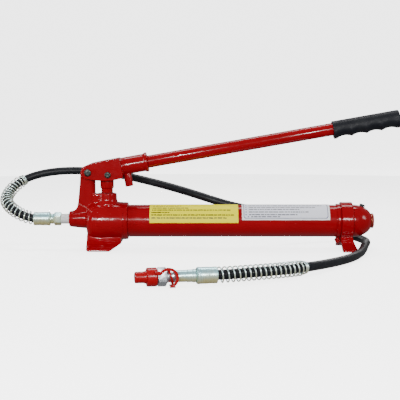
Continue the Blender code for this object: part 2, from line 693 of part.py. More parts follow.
def pump_fitting():
    along = (1, 0, 0)
    at = (0, 0, PORT_Z)
    ferrule("ferrule_pump", along, END_A)
    body = turned("hose_end_pump", [
        (3, -90.5), (7.8, -90.5), (7.8, -88), (9.3, -87.2), (9.3, -82), (8.6, -81), (8.6, -69.3),
        (7.9, -69.3), (7.9, -42), (7.2, -41), (3, -41)], zinc(), along, at, 20)
    hexa = hex_bar("hex_pump", 20.5, -81.5, -69.3, zinc(), along, at, True)
    cut(hexa, rod("cut_hex_pump", 6, -90, -60, None, along, at, 16, True))
    join(body, hexa)
    tape = material("thread_tape_white", (0.86, 0.86, 0.83), 0.6)
    ring("thread_tape", 8.15, 8.9, -69.0, -55.1, tape, along, at, 20)


def coupler_fitting():
    side = (-DIR_B[1], DIR_B[0], 0)
    line = frame("coupler_axis", END_B, Matrix((DIR_B, side, (0, 0, 1))).transposed())
    out, at = (1, 0, 0), (0, 0, 0)
    ferrule("ferrule_coupler", out, at, line)
    body = turned("hose_end_coupler", [
        (3, 27.6), (7.8, 27.6), (7.8, 30), (9.2, 30.8), (9.2, 43), (8.4, 44), (8.4, 56.6),
        (6.9, 56.6), (6.9, 66), (3, 66)], zinc(), out, at, 20, False, line)
    hexa = hex_bar("hex_coupler", 20.5, 44, 56.6, zinc(), out, at, True, line)
    cut(hexa, rod("cut_hex_coupler", 6, 30, 70, None, out, at, 16, True, line))
    join(body, hexa)
    nipple = turned("quick_coupler", [
        (7.2, 58.5), (8.7, 58.5), (8.7, 71.5), (10.2, 72), (10.2, 84.6), (8.8, 85.2),
        (8.8, 100), (7.6, 104), (6.2, 105), (3.2, 105), (3.2, 68), (7.2, 68)],
        steel(), out, at, 20, False, line)
    hexb = hex_bar("hex_quick", 23.6, 72, 84.6, steel(), out, at, True, line)
    cut(hexb, rod("cut_hex_quick", 8, 60, 110, None, out, at, 16, True, line))
    join(nipple, hexb)
    dust_cap(out, at, line)


def dust_cap(out, at, line):
    """The moulded cap on the coupler and its strap: a loop, a tab and a ring."""
    plastic = material("red_plastic", (0.7, 0.05, 0.03), 0.4)
    turned("dust_cap", [
        (0, 106), (6.6, 105.6), (8, 104.4), (9.2, 100.4), (9.2, 85.6), (12.9, 85.6),
        (13.2, 86.4), (13.2, 98.6), (12.6, 99.4), (8.6, 99.6), (8, 100.2), (8, 115),
        (6.8, 116.2), (0, 116.2)], plastic, out, at, 24, False, line)
    tilt = -math.radians(17)
    strap = turned("dust_cap_strap", [(10.4, -1.3), (12.9, -1.3), (12.9, 1.3), (10.4, 1.3)],
                   plastic, (math.cos(tilt), 0, math.sin(tilt)), (66.4, 0, 0), 20, False, line)
    loop = arc(71, 0, 14.6, 30, 242, 16) + arc(71, 0, 10.6, 242, 30, 16)
    tab = [(62.8, -13.5), (67.6, -13.5), (67.6, -11.3), (62.8, -11.3)]
    foot = [(61.2, -13.5), (69.6, -13.5), (67.4, -10.4), (61.6, -10.4)]
    join(strap,
         slab("strap_tab", tab, "XZ", -2, 15.0, plastic, True, parent=line),
         slab("strap_loop", loop, "XZ", 13.6, 15.6, plastic, True, parent=line),
         slab("strap_foot", foot, "XZ", 13.4, 15.8, plastic, True, parent=line))


head_parts()
plunger_parts()
lever_parts()
reservoir_parts()
label("warning_label", 88.8, 244.5, -6, 98, (0.95, 0.78, 0.05))
label("rating_label", 250.9, 405.2, 2, 96, (0.85, 0.87, 0.88))
hose_parts()
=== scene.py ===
"""Looks of a hydraulic hand pump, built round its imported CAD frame.

Sizes are in millimetres until a mesh is made, and places are in the row frame: +X
along the reservoir, +Y to the release-valve side, +Z up, from the head's foot.
"""
import random
from math import cos, dist, pi, radians, sin, sqrt, tau

import bmesh
import bpy
import numpy as np
from mathutils import Matrix, Vector


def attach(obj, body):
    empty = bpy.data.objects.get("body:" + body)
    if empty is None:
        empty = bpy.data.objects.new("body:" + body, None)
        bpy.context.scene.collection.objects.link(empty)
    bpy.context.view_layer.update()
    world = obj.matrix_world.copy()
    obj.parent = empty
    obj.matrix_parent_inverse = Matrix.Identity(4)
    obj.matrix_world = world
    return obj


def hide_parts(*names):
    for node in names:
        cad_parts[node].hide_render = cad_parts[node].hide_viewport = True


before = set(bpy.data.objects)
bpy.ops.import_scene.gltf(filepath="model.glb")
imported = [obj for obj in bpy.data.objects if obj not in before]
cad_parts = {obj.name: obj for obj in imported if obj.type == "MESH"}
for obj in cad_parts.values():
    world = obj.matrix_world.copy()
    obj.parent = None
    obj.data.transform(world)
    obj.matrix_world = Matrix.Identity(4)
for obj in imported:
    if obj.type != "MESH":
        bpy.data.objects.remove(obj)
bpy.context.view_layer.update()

MM = 0.001
X, Y, Z = (1, 0, 0), (0, 1, 0), (0, 0, 1)

# reservoir and head
TUBE_Z = 50.0
TUBE_R = 28.5
TUBE_AT = (0, 0, TUBE_Z)
HEAD_R = 34.0
HEAD_LEFT = -22.8
HEAD_RIGHT = 50.0
PORT_Z = 53.5
PORT_X = -54.8
PLUNGER_X = 12.5
PLUNGER_R = 10.2
BOSS_TOP = 99.5
BAND_X = (426.0, 446.8)
CAP_X = 446.6
CAP_R = 28.7
DOME_X = 481.0
FILLER = (464.8, 0, 75.7)
FILLER_LEAN = 21.5
RELEASE = (-13.5, 0, PORT_Z)

# lever
PIVOT = (-19.5, 136.5)
PIN2 = (15.5, 132.5)
LEVER_TILT = 10.0
CHEEK_IN = 12.5
CHEEK_OUT = 20.5
HANDLE_R = 11.1
GRIP = (437.5, 557.0)

# hose
HOSE_R = 7.25
GUARD_R = 10.8
GUARD_WIRE = 1.0
GUARD_PITCH = 8.3
GUARD_LEN = 155.0
END_A = (-118.0, 0.0, 53.5)
END_B = (201.0, -366.5, 13.9)
DIR_B = (-0.98119, -0.19304, 0.0)
HOSE_ROUTE = [
    (-55, 0, 53.5), (-95.5, 0, 53.5), (-123, 0, 53.5), (-148.7, 4.6, 63.1),
    (-173.7, 27.5, 77.9), (-179, 66.4, 92.4), (-156.9, 98.1, 118.8),
    (-100.8, 108, 133), (-36.6, 102, 133.9), (20.7, 92.7, 128.6),
    (76.1, 80, 116.7), (130.1, 58.6, 104.4), (183.4, 33.2, 90),
    (231.9, 22.1, 74.5), (283.2, 39.2, 64.4), (335, 66.7, 49.5),
    (384.6, 94.4, 33.5), (429.7, 105.8, 20.6), (467.5, 86.3, 10.1),
    (485.5, 45.1, 6.9), (470, -7.4, 8.6), (457, -69.5, 7.8),
    (439.6, -128.6, 7.8), (412.4, -181.1, 7.8), (377.5, -228.5, 8.8),
    (346, -278, 12.2), (304, -317.5, 13.0), (255, -343, 13.6),
    (213, -364.1, 13.9), (181.4, -370.3, 13.9), (155, -375.5, 13.9),
    (125, -381.4, 13.9),
]

# labels on the tube: x from, x to, then degrees up from the near side
WARNING_LABEL = (88.8, 244.5, -1.8, 98)
RATING_LABEL = (250.9, 405.2, 8.3, 96)
LABEL_R = TUBE_R + 0.3

# view and light, in metres and degrees
CAMERA_AT = (0.1773, -1.6902, 0.236)
CAMERA_DOWN = 5.04
CAMERA_LENS = 85.95
PAPER_GLOW = 3.4
AIR_GLOW = 0.25

UNMOVED = Matrix.Identity(4)


# ---- materials

class Graph:
    """A Principled material and the few node steps the finishes share."""

    def __init__(self, name, roughness=0.5, metallic=0.0, coat=0.0, coat_roughness=0.1):
        self.mat = bpy.data.materials.new(name)
        self.mat.use_nodes = True
        self.nodes = self.mat.node_tree.nodes
        self.links = self.mat.node_tree.links
        self.bsdf = self.nodes["Principled BSDF"]
        for key, value in (("Roughness", roughness), ("Metallic", metallic),
                           ("Coat Weight", coat), ("Coat Roughness", coat_roughness)):
            self.bsdf.inputs[key].default_value = value
        self.where = self.nodes.new("ShaderNodeTexCoord").outputs["Object"]

    def feed(self, socket, value):
        """Sets a constant on the socket, or links another node's output to it."""
        if isinstance(value, bpy.types.NodeSocket):
            self.links.new(value, socket)
        else:
            socket.default_value = value

    def step(self, kind, out, inputs):
        node = self.nodes.new(kind)
        for key, value in inputs.items():
            self.feed(node.inputs[key], value)
        return node.outputs[out]

    def scaled(self, scale, turn=(0, 0, 0)):
        turn = [radians(a) for a in turn]
        return self.step("ShaderNodeMapping", "Vector",
                         {"Scale": scale, "Rotation": turn, "Vector": self.where})

    def noise(self, scale, detail, vector=None):
        return self.step("ShaderNodeTexNoise", "Fac", {
            "Scale": scale, "Detail": detail, "Roughness": 0.55, "Vector": vector or self.where})

    def spread(self, value, low, high, to_low=0.0, to_high=1.0):
        return self.step("ShaderNodeMapRange", "Result", {
            "From Min": low, "From Max": high, "To Min": to_low, "To Max": to_high,
            "Value": value})

    def sums(self, how, a, b):
        node = self.nodes.new("ShaderNodeMath")
        node.operation = how
        for socket, value in zip(node.inputs, (a, b)):
            self.feed(socket, value)
        return node.outputs["Value"]

    def blend(self, factor, a, b):
        node = self.nodes.new("ShaderNodeMix")
        node.data_type = "RGBA"
        self.links.new(factor, node.inputs["Factor"])
        for key, colour in (("A", a), ("B", b)):
            socket = [i for i in node.inputs if i.name == key and i.type == "RGBA"][0]
            self.feed(socket, (*colour, 1.0) if isinstance(colour, tuple) else colour)
        return [o for o in node.outputs if o.type == "RGBA"][0]

    def pointed(self):
        return self.nodes.new("ShaderNodeNewGeometry").outputs["Pointiness"]

    def set(self, key, value):
        self.links.new(value, self.bsdf.inputs[key])

    def gloss(self, level):
        self.bsdf.inputs["Specular IOR Level"].default_value = level

    def rough(self, scale, detail, low, high, to_low, to_high):
        self.set("Roughness", self.spread(self.noise(scale, detail), low, high, to_low, to_high))

    def bump(self, height, distance, under=None):
        inputs = {"Strength": 1.0, "Distance": distance * MM, "Height": height}
        if under:
            inputs["Normal"] = under
        return self.step("ShaderNodeBump", "Normal", inputs)


def red_paint(name, lumps, wear_and_highlight, bare_and_highlight=0.0):
    """Glossy red enamel: slight orange peel, cast lumps under it, and pale pink chips on sharp
    edges that are partly wear and partly painted highlight.
    """
    g = Graph(name, coat=0.1, coat_roughness=0.05)
    g.gloss(0.25)
    tone = g.spread(g.noise(18, 3), 0.3, 0.7)
    colour = g.blend(tone, (0.31, 0.0, 0.005), (0.26, 0.0, 0.004))
    # pale pink on sharp convex edges and in specks: partly worn paint, partly painted highlight
    chips_and_painted_highlight = g.sums("MULTIPLY", g.spread(g.pointed(), 0.56, 0.62),
                   g.spread(g.noise(420, 4), 0.6, 0.66))
    specks = g.sums("MULTIPLY", g.spread(g.noise(330, 2), 0.74, 0.77), lumps * 4)
    chips_and_painted_highlight = g.sums("MULTIPLY", g.sums("MAXIMUM", chips_and_painted_highlight, specks), wear_and_highlight)
    # broad pale patches, partly wear and partly painted highlight
    if bare_and_highlight:
        chips_and_painted_highlight = g.sums("MAXIMUM", chips_and_painted_highlight, g.spread(g.noise(700, 3), 0.6 - bare_and_highlight, 0.75, 0.0, 0.9))
    colour = g.blend(chips_and_painted_highlight, colour, (0.72, 0.3, 0.28))
    g.set("Base Color", colour)
    g.rough(90, 4, 0.3, 0.7, 0.12, 0.2)
    peel = g.bump(g.noise(520, 2), 0.008)
    g.set("Normal", g.bump(g.noise(150, 4), 0.006 + lumps, under=peel))
    return g.mat


def plated(name, light, tint, metal_rough):
    """Zinc plate: fine turning lines and cloudy patches, with painted reflection: one hue on faces
    turned up and another on faces turned down.
    """
    g = Graph(name, metallic=0.7)
    facing = g.nodes.new("ShaderNodeSeparateXYZ")
    g.links.new(g.nodes.new("ShaderNodeNewGeometry").outputs["Normal"], facing.inputs["Vector"])
    # painted reflection: the light hue on faces turned up, the tint on faces turned down, mixed
    # with cloudy patches
    patches_and_painted_facing = g.sums("ADD", g.spread(g.noise(60, 4), 0.35, 0.68, -0.2, 0.2),
                   g.spread(facing.outputs["Z"], -0.5, 0.45, 1.0, 0.0))
    painted_facing_hue = g.blend(patches_and_painted_facing, light, tint)
    spots = g.spread(g.noise(700, 3), 0.62, 0.72)
    g.set("Base Color", g.blend(g.sums("MULTIPLY", spots, 0.5), painted_facing_hue, (0.33, 0.31, 0.27)))
    fine = g.noise(1.0, 3, g.scaled((2600, 40, 40)))
    g.set("Roughness", g.spread(fine, 0.3, 0.7, metal_rough - 0.06, metal_rough + 0.12))
    g.set("Normal", g.bump(fine, 0.012))
    return g.mat


def steel(name, colour, rough, dark, patches):
    """Bare or oxidised steel with stains and fine scratches."""
    g = Graph(name, metallic=1.0)
    stain = g.spread(g.noise(240, 5), 0.45, 0.75)
    g.set("Base Color", g.blend(g.sums("MULTIPLY", stain, patches), colour, dark))
    scratch = g.noise(1.0, 4, g.scaled((300, 2500, 900), (0, 20, 35)))
    g.set("Roughness", g.spread(scratch, 0.3, 0.75, rough - 0.07, rough + 0.13))
    g.set("Normal", g.bump(scratch, 0.02))
    return g.mat


def hose_rubber():
    """Smooth extruded cover with a faint wrapped texture and grey handling dust."""
    g = Graph("hose_cover")
    g.gloss(0.3)
    dust = g.spread(g.noise(70, 5), 0.45, 0.75)
    colour = g.blend(dust, (0.0035, 0.0045, 0.0075), (0.011, 0.0145, 0.018))
    g.set("Base Color", colour)
    g.rough(320, 4, 0.3, 0.7, 0.36, 0.5)
    weave = g.step("ShaderNodeTexVoronoi", "Distance", {"Scale": 900, "Vector": g.where})
    g.set("Normal", g.bump(g.noise(900, 2), 0.03, under=g.bump(weave, 0.03)))
    return g.mat


def moulded(name, gloss, tone, colours, rough, grain):
    """Rubber, plastic or printed film: a slow tone change, scuffed gloss and fine grain."""
    g = Graph(name)
    g.gloss(gloss)
    scale, detail, low, high = tone
    g.set("Base Color", g.blend(g.spread(g.noise(scale, detail), low, high), *colours))
    g.rough(*rough)
    scale, detail, depth = grain
    g.set("Normal", g.bump(g.noise(scale, detail), depth))
    return g.mat


def seal_rubber():
    g = Graph("seal_rubber")
    g.set("Base Color", g.blend(g.noise(300, 4), (0.01, 0.01, 0.011), (0.03, 0.03, 0.032)))
    g.rough(500, 3, 0.3, 0.7, 0.4, 0.6)
    g.set("Normal", g.bump(g.noise(2000, 2), 0.02))
    return g.mat


def plastic(name, colour, deep, rough=0.3):
    return moulded(name, 0.35, (45, 3, 0.3, 0.7), (colour, deep),
                   (420, 4, 0.35, 0.75, rough - 0.03, rough + 0.06), (1100, 3, 0.01))


def film(name, colour, shade):
    return moulded(name, 0.12, (38, 4, 0.3, 0.72), (colour, shade),
                   (300, 4, 0.3, 0.7, 0.34, 0.46), (60, 3, 0.05))


def ink(name, colour, paper):
    """Halftone print, thin enough for the film under it to show through."""
    g = Graph(name, roughness=0.45)
    dots = g.spread(g.noise(1500, 3), 0.38, 0.62)
    g.set("Base Color", g.blend(dots, colour, paper))
    return g.mat


def tape_film():
    """Thread tape: soft white, wrapped in overlapping turns."""
    g = Graph("thread_tape_film")
    g.set("Base Color", g.blend(g.noise(260, 4), (0.78, 0.79, 0.78), (0.93, 0.93, 0.92)))
    g.rough(600, 3, 0.3, 0.7, 0.45, 0.65)
    wraps = g.step("ShaderNodeTexWave", "Fac", {
        "Scale": 60, "Distortion": 2.0, "Vector": g.scaled((9, 0, 3))})
    g.set("Normal", g.bump(g.noise(900, 3), 0.08, under=g.bump(wraps, 0.12)))
    return g.mat


CAST_RED = red_paint("red_enamel_casting", lumps=0.15, wear_and_highlight=1.0)
# enamel for the foundry strokes: its pale patches are partly wear and partly painted highlight
CAST_WORN_AND_HIGHLIT = red_paint("red_enamel_worn_and_highlit", lumps=0.11, wear_and_highlight=1.0, bare_and_highlight=0.45)
TUBE_RED = red_paint("red_enamel_tube", lumps=0.0, wear_and_highlight=0.5)
# the first colour of each plate is painted reflection on faces turned up, the second on faces
# turned down
ZINC = plated("zinc_plate", (0.5, 0.82, 0.88), (0.85, 0.77, 0.38), 0.3)
ZINC_WIRE = plated("zinc_wire", (0.68, 0.9, 0.92), (0.86, 0.82, 0.56), 0.24)
STEEL = steel("turned_steel", (0.72, 0.75, 0.8), 0.27, (0.35, 0.36, 0.4), 0.22)
DARK_STEEL = steel("oxidised_steel", (0.035, 0.042, 0.04), 0.4, (0.2, 0.19, 0.17), 0.35)
BALL_STEEL = steel("ball_steel", (0.75, 0.75, 0.77), 0.14, (0.5, 0.5, 0.5), 0.2)
COPPER = steel("copper_washer", (0.78, 0.4, 0.24), 0.3, (0.4, 0.2, 0.14), 0.5)
BRASS = steel("strainer_brass", (0.72, 0.55, 0.27), 0.35, (0.4, 0.3, 0.16), 0.5)
HOSE = hose_rubber()
GRIP_RUBBER = moulded("grip_rubber", 0.3, (55, 5, 0.42, 0.75),
                      ((0.004, 0.005, 0.009), (0.010, 0.0115, 0.015)),
                      (240, 4, 0.3, 0.7, 0.42, 0.62), (1400, 3, 0.05))
SEAL = seal_rubber()
RED_PLASTIC = plastic("red_cap_plastic", (0.36, 0.0, 0.004), (0.32, 0.0, 0.003), 0.26)
BLACK_PLASTIC = plastic("black_plug_plastic", (0.012, 0.013, 0.015), (0.024, 0.025, 0.028))
YELLOW = film("label_yellow_film", (1.0, 0.93, 0.0), (0.97, 0.88, 0.0))
WHITE = film("label_white_film", (0.88, 0.89, 0.98), (0.84, 0.86, 0.95))
WHITE_EDGE = film("label_white_margin", (0.95, 0.95, 0.96), (0.92, 0.92, 0.94))
OLIVE_INK = ink("ink_olive", (0.05, 0.035, 0.002), (0.11, 0.08, 0.004))
BROWN_INK = ink("ink_brown", (0.12, 0.012, 0.002), (0.2, 0.04, 0.004))
GREY_INK = ink("ink_grey", (0.06, 0.07, 0.1), (0.15, 0.165, 0.2))
BLUE_INK = ink("ink_blue", (0.06, 0.07, 0.22), (0.12, 0.13, 0.3))
TAPE = tape_film()


# ---- shape tools

def placed(axis=Z, at=(0, 0, 0), under=UNMOVED):
    """Places something made along +Z so that it runs along axis from at."""
    turn = Vector(Z).rotation_difference(Vector(axis)).to_matrix().to_4x4()
    return under @ Matrix.Translation(Vector(at)) @ turn


def added(name, data, mat=None):
    """A new object in the scene, with its one material where it has one."""
    made = bpy.data.objects.new(name, data)
    bpy.context.scene.collection.objects.link(made)
    if mat:
        data.materials.append(mat)
    return made


def shaded(made, sharp=38):
    """Smooth shading that keeps edges over an angle in degrees."""
    made.data.shade_smooth()
    made.data.set_sharp_from_angle(angle=radians(sharp))
    return made


def finish_mesh(name, bm, mat, place=UNMOVED, sharp=38):
    """A bmesh in millimetres becomes an object whose mesh is in metres."""
    bmesh.ops.transform(bm, matrix=place, verts=bm.verts)
    bmesh.ops.scale(bm, vec=(MM, MM, MM), verts=bm.verts)
    bmesh.ops.recalc_face_normals(bm, faces=bm.faces)
    mesh = bpy.data.meshes.new(name)
    bm.to_mesh(mesh)
    bm.free()
    return shaded(added(name, mesh, mat), sharp)


def rod(radius, low, high):
    """The half section of a plain cylinder."""
    return [(0, low), (radius, low), (radius, high), (0, high)]


def hoop(inner, outer, low, high):
    """The half section of a plain ring, or the corners of a box."""
    return [(inner, low), (outer, low), (outer, high), (inner, high)]


def arc(cx, cy, radius, start, stop, count):
    angles = np.radians(np.linspace(start, stop, count + 1))
    return [(cx + radius * cos(a), cy + radius * sin(a)) for a in angles]


def eased(points, size, closed=True):
    """The outline with each corner turned into a small arc."""
    found, count, cuts = [], len(points), 3
    for i, here in enumerate(points):
        if not closed and i in (0, count - 1):
            found.append(here)
            continue
        before, after = Vector(points[i - 1]), Vector(points[(i + 1) % count])
        corner = Vector(here)
        back, ahead = before - corner, after - corner
        if pi - back.angle(ahead, pi) < radians(14):
            found.append(here)
            continue
        reach = min(size, 0.45 * back.length, 0.45 * ahead.length)
        a, b = corner + back.normalized() * reach, corner + ahead.normalized() * reach
        for k in range(cuts + 1):
            t = k / cuts
            found.append(tuple(a * (1 - t) ** 2 + corner * 2 * t * (1 - t) + b * t * t))
    return found


def join_rings(bm, rings, closed=False):
    """Skins rings of vertices in order; a ring of one vertex closes to a point."""
    for low, high in list(zip(rings, rings[1:])) + ([(rings[-1], rings[0])] if closed else []):
        steps = max(len(low), len(high))
        for k in range(steps):
            n = (k + 1) % steps
            bm.faces.new([low[0], high[k], high[n]] if len(low) == 1 else
                         [low[k], low[n], high[0]] if len(high) == 1 else
                         [low[k], low[n], high[n], high[k]])


def lathe(name, profile, mat, axis, at, steps=72, ease=0.5, under=UNMOVED, ripple=None):
    """A turned piece: (radius, distance) pairs round half its section, corners eased.

    ripple(angle, distance) scales the radius, for flutes and knurls.
    """
    solid = profile[0][0] == 0 and profile[-1][0] == 0
    outline = eased(profile, ease, closed=not solid) if ease else list(profile)
    bm = bmesh.new()
    rings = []
    for radius, along in outline:
        if radius < 1e-6:
            rings.append([bm.verts.new((0, 0, along))])
            continue
        loop = []
        for k in range(steps):
            a = tau * k / steps
            r = radius * (ripple(a, along) if ripple else 1)
            loop.append(bm.verts.new((r * cos(a), r * sin(a), along)))
        rings.append(loop)
    join_rings(bm, rings, not solid)
    return finish_mesh(name, bm, mat, placed(axis, at, under))


def bore(profile, axis, at, steps=64, under=UNMOVED):
    """A turned cutter, which a Boolean uses up."""
    return lathe("cut", profile, CAST_RED, axis, at, steps, 0, under)


PLANES = {
    "XY": UNMOVED,
    "XZ": Matrix(((1, 0, 0, 0), (0, 0, -1, 0), (0, 1, 0, 0), (0, 0, 0, 1))),
    "YZ": Matrix(((0, 0, 1, 0), (1, 0, 0, 0), (0, 1, 0, 0), (0, 0, 0, 1))),
}


def extruded(outline, low, high):
    """A bmesh of a flat outline in XY, drawn out from low to high."""
    bm = bmesh.new()
    face = bm.faces.new([bm.verts.new((a, b, low)) for a, b in outline])
    grown = bmesh.ops.extrude_face_region(bm, geom=[face], use_keep_orig=True)
    up = [v for v in grown["geom"] if isinstance(v, bmesh.types.BMVert)]
    bmesh.ops.translate(bm, vec=(0, 0, high - low), verts=up)
    return bm


def plate(name, outline, plane, low, high, mat, round_by=0.0, under=UNMOVED):
    """A flat outline with thickness; round_by eases its rims."""
    bm = extruded(outline, -high, -low) if plane == "XZ" else extruded(outline, low, high)
    if round_by:
        rims = [e for e in bm.edges if abs(e.verts[0].co.z - e.verts[1].co.z) < 1e-6]
        bmesh.ops.bevel(bm, geom=rims, offset=round_by, segments=3, profile=0.5,
                        affect="EDGES", clamp_overlap=True)
    return finish_mesh(name, bm, mat, under @ PLANES[plane])


def slab(outline, plane, low, high, under=UNMOVED):
    """A flat cutter, which a Boolean uses up."""
    return plate("cut", outline, plane, low, high, CAST_RED, 0, under)


def apply_modifier(target, kind, **values):
    mod = target.modifiers.new("step", kind)
    for key, value in values.items():
        setattr(mod, key, value)
    bpy.context.view_layer.update()
    seen = bpy.context.evaluated_depsgraph_get()
    old, mats = target.data, list(target.data.materials)
    mesh = bpy.data.meshes.new_from_object(target.evaluated_get(seen))
    target.modifiers.clear()
    target.data = mesh
    mesh.materials.clear()
    for mat in mats[:1]:
        mesh.materials.append(mat)
    bpy.data.meshes.remove(old)
    return target


def combine(target, how, *others, sharp=38):
    """Boolean with other pieces, which are used up."""
    for other in others:
        apply_modifier(target, "BOOLEAN", object=other, operation=how, solver="EXACT")
        bpy.data.objects.remove(other, do_unlink=True)
    return shaded(target, sharp)


def carve(target, *others, sharp=38):
    return combine(target, "DIFFERENCE", *others, sharp=sharp)


def beveled(target, width, over, sharp):
    """Small bevels along edges over an angle in degrees."""
    apply_modifier(target, "BEVEL", width=width * MM, segments=2, limit_method="ANGLE",
                   angle_limit=radians(over))
    return shaded(target, sharp)


def cast(name, lumps, mat, voxel, rounds):
    """Overlapping solids fused into one casting with small fillets where they meet."""
    bm = bmesh.new()
    for lump in lumps:
        bm.from_mesh(lump.data)
        bpy.data.objects.remove(lump, do_unlink=True)
    mesh = bpy.data.meshes.new(name)
    bm.to_mesh(mesh)
    bm.free()
    made = added(name, mesh, mat)
    apply_modifier(made, "REMESH", mode="VOXEL", voxel_size=voxel * MM)
    apply_modifier(made, "SMOOTH", factor=0.5, iterations=rounds)
    made.data.shade_smooth()
    return made


def wire(name, points, radius, mat, resolution):
    """A round wire through points, in millimetres, as a curve with closed ends."""
    curve = bpy.data.curves.new(name, "CURVE")
    curve.dimensions = "3D"
    curve.bevel_depth = radius * MM
    curve.bevel_resolution = resolution
    curve.use_fill_caps = True
    line = curve.splines.new("POLY")
    line.points.add(len(points) - 1)
    for point, at in zip(line.points, points):
        point.co = (at[0] * MM, at[1] * MM, at[2] * MM, 1.0)
    return added(name, curve, mat)


def hex_nut(name, flats, low, high, hole, mat, axis, at, under=UNMOVED, turn=0.0):
    """A hexagon with its corners chamfered by a cone at both ends."""
    size = flats / sqrt(3)
    corners = [tau * k / 6 + turn for k in range(6)]
    outline = [(size * cos(a), size * sin(a)) for a in corners]
    nut = finish_mesh(name, extruded(outline, low, high), mat, placed(axis, at, under))
    rim, drop = flats / 2 - 0.2, (size - flats / 2 + 0.2) * 0.55
    cone = [(0, low), (rim, low), (size + 0.3, low + drop), (size + 0.3, high - drop),
            (rim, high), (0, high)]
    combine(nut, "INTERSECT", bore(cone, axis, at, 72, under))
    if hole:
        carve(nut, bore(rod(hole, low - 2, high + 2), axis, at, 48, under))
    return beveled(nut, 0.25, 35, 50)


def stands_for(piece, body, slot_name, *nodes):
    """Puts a piece on its body in place of the CAD nodes it shows; slot_name is not used."""
    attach(piece, body)
    if nodes:
        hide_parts(*nodes)
    return piece


def on_pump(piece, slot_name, *nodes):
    return stands_for(piece, "pump_body", slot_name, *nodes)


# ---- camera and light

def camera():
    data = bpy.data.cameras.new("camera")
    data.sensor_width = 36
    data.lens = CAMERA_LENS
    made = added("camera", data)
    made.location = CAMERA_AT
    made.rotation_euler = (radians(90 - CAMERA_DOWN), 0, 0)
    bpy.context.scene.camera = made


def area_light(name, at, aim, size, power):
    data = bpy.data.lights.new(name, "AREA")
    data.shape = "RECTANGLE"
    data.size, data.size_y = size
    data.energy = power
    made = added(name, data)
    made.location = at
    made.rotation_euler = (Vector(aim) - Vector(at)).to_track_quat("-Z", "Y").to_euler()


def studio():
    """A round white paper bowl, soft boxes above and in front, and one at each side."""
    paper = Graph("studio_paper", roughness=0.85)
    paper.set("Base Color", paper.blend(paper.noise(2.0, 2), (0.93, 0.93, 0.93), (0.9, 0.9, 0.9)))
    paper.bsdf.inputs["Emission Color"].default_value = (1, 1, 1, 1)
    paper.bsdf.inputs["Emission Strength"].default_value = PAPER_GLOW
    wide, bend, tall, steps = 5.0, 2.8, 4.0, 96
    line = [(0, 0)] + [(wide - bend + bend * sin(a), bend - bend * cos(a))
                       for a in np.linspace(0, pi / 2, 16)]
    line += [(wide, tall), (1.0, tall + 1.5), (0, tall + 1.5)]
    turns = [tau * k / steps for k in range(steps)]
    bm = bmesh.new()
    join_rings(bm, [[bm.verts.new((r * cos(a), r * sin(a), z)) for a in turns] if r
                    else [bm.verts.new((0, 0, z))] for r, z in line])
    bm.normal_update()
    mesh = bpy.data.meshes.new("studio_bowl")
    bm.to_mesh(mesh)
    bm.free()
    mesh.shade_smooth()
    floor = added("studio_bowl", mesh, paper.mat)
    floor.location = (0.2, 0, -0.0005)

    middle = (0.2, 0, 0.06)
    for light in (
            ("overhead", (0.2, 0.5, 1.8), middle, (1.4, 0.5), 22),
            ("front_left", (-0.24, -2.1, 0.64), middle, (0.04, 0.16), 17),
            ("front_right", (0.7, -2.1, 0.64), middle, (0.07, 0.2), 17),
            ("port_left", (-0.66, -2.0, 0.64), middle, (0.06, 0.2), 9),
            ("side_left", (-1.7, -0.45, 0.4), (0, 0, 0.1), (0.2, 0.6), 13),
            ("side_right", (2.0, -0.9, 0.8), (0.4, 0, 0.06), (0.5, 0.7), 12),
            ("back_left", (-0.7, 2.2, 1.1), middle, (1.0, 0.8), 8),
            ("back_right", (1.2, 2.2, 1.1), middle, (1.0, 0.8), 8)):
        area_light(*light)

    # the paper gives no tint to the pump and shows in no reflection
    floor.visible_glossy = False
    floor.visible_diffuse = False
    floor.visible_shadow = False
    world = bpy.data.worlds.new("studio_air")
    world.use_nodes = True
    air = world.node_tree.nodes["Background"].inputs
    air["Color"].default_value = (1, 1, 1, 1)
    air["Strength"].default_value = AIR_GLOW
    bpy.context.scene.world = world


# ---- hose

def smooth_route(points, per_span):
    """A uniform cubic B-spline over the route points."""
    ctrl = np.array(points, float)
    found = []
    for i in range(len(ctrl) - 3):
        for j in range(per_span + (i == len(ctrl) - 4)):
            t = j / per_span
            weights = np.array([(1 - t) ** 3, 3 * t ** 3 - 6 * t * t + 4,
                                -3 * t ** 3 + 3 * t * t + 3 * t + 1, t ** 3]) / 6
            found.append(weights @ ctrl[i:i + 4])
    return np.array(found)


def guard_points(line, run, start, sign):
    """The open coil over a hose end; its last turns are drawn in to grip the hose."""
    per_turn = 24

    def at_length(where):
        return np.array([np.interp(where, run, line[:, k]) for k in range(3)])

    turns = int(GUARD_LEN / GUARD_PITCH) + 2
    points, side = [], None
    along = start + sign * (GUARD_WIRE + 1.4)
    for i in range(turns * per_turn + 1):
        left = turns - i / per_turn
        drawn_in = min(1.0, max(0.0, (3.2 - left) / 1.2))
        radius = GUARD_R - (GUARD_R - HOSE_R - GUARD_WIRE - 0.75) * drawn_in
        ahead = at_length(along + 2) - at_length(along - 2)
        ahead /= np.linalg.norm(ahead)
        side = np.cross(ahead, Z) if side is None else side - ahead * side.dot(ahead)
        side /= np.linalg.norm(side)
        up = np.cross(ahead, side)
        angle = sign * tau * i / per_turn
        points.append(at_length(along) + radius * (cos(angle) * side + sin(angle) * up))
        pitch = GUARD_PITCH if left > 2.6 else 2.5 * GUARD_WIRE
        along += sign * pitch / per_turn
    return points


def ferrule(name, node, at, under=UNMOVED):
    """A crimped sleeve: plain barrel, a shallow crimp band and a rolled rim."""
    r = 11.8
    outline = [(9.0, 0), (r - 0.6, 0), (r, 0.6), (r, 5.2), (r - 0.25, 5.8), (r - 0.25, 12.6),
               (r, 13.2), (r, 24.2), (r - 0.35, 24.6), (r + 0.35, 25.4), (r + 0.35, 27.4),
               (r - 0.6, 29), (r - 2.4, 29.6), (8.15, 29.6), (8.15, 8)]
    return on_pump(lathe(name, outline, ZINC, X, at, 80, 0.35, under), "zinc", node)


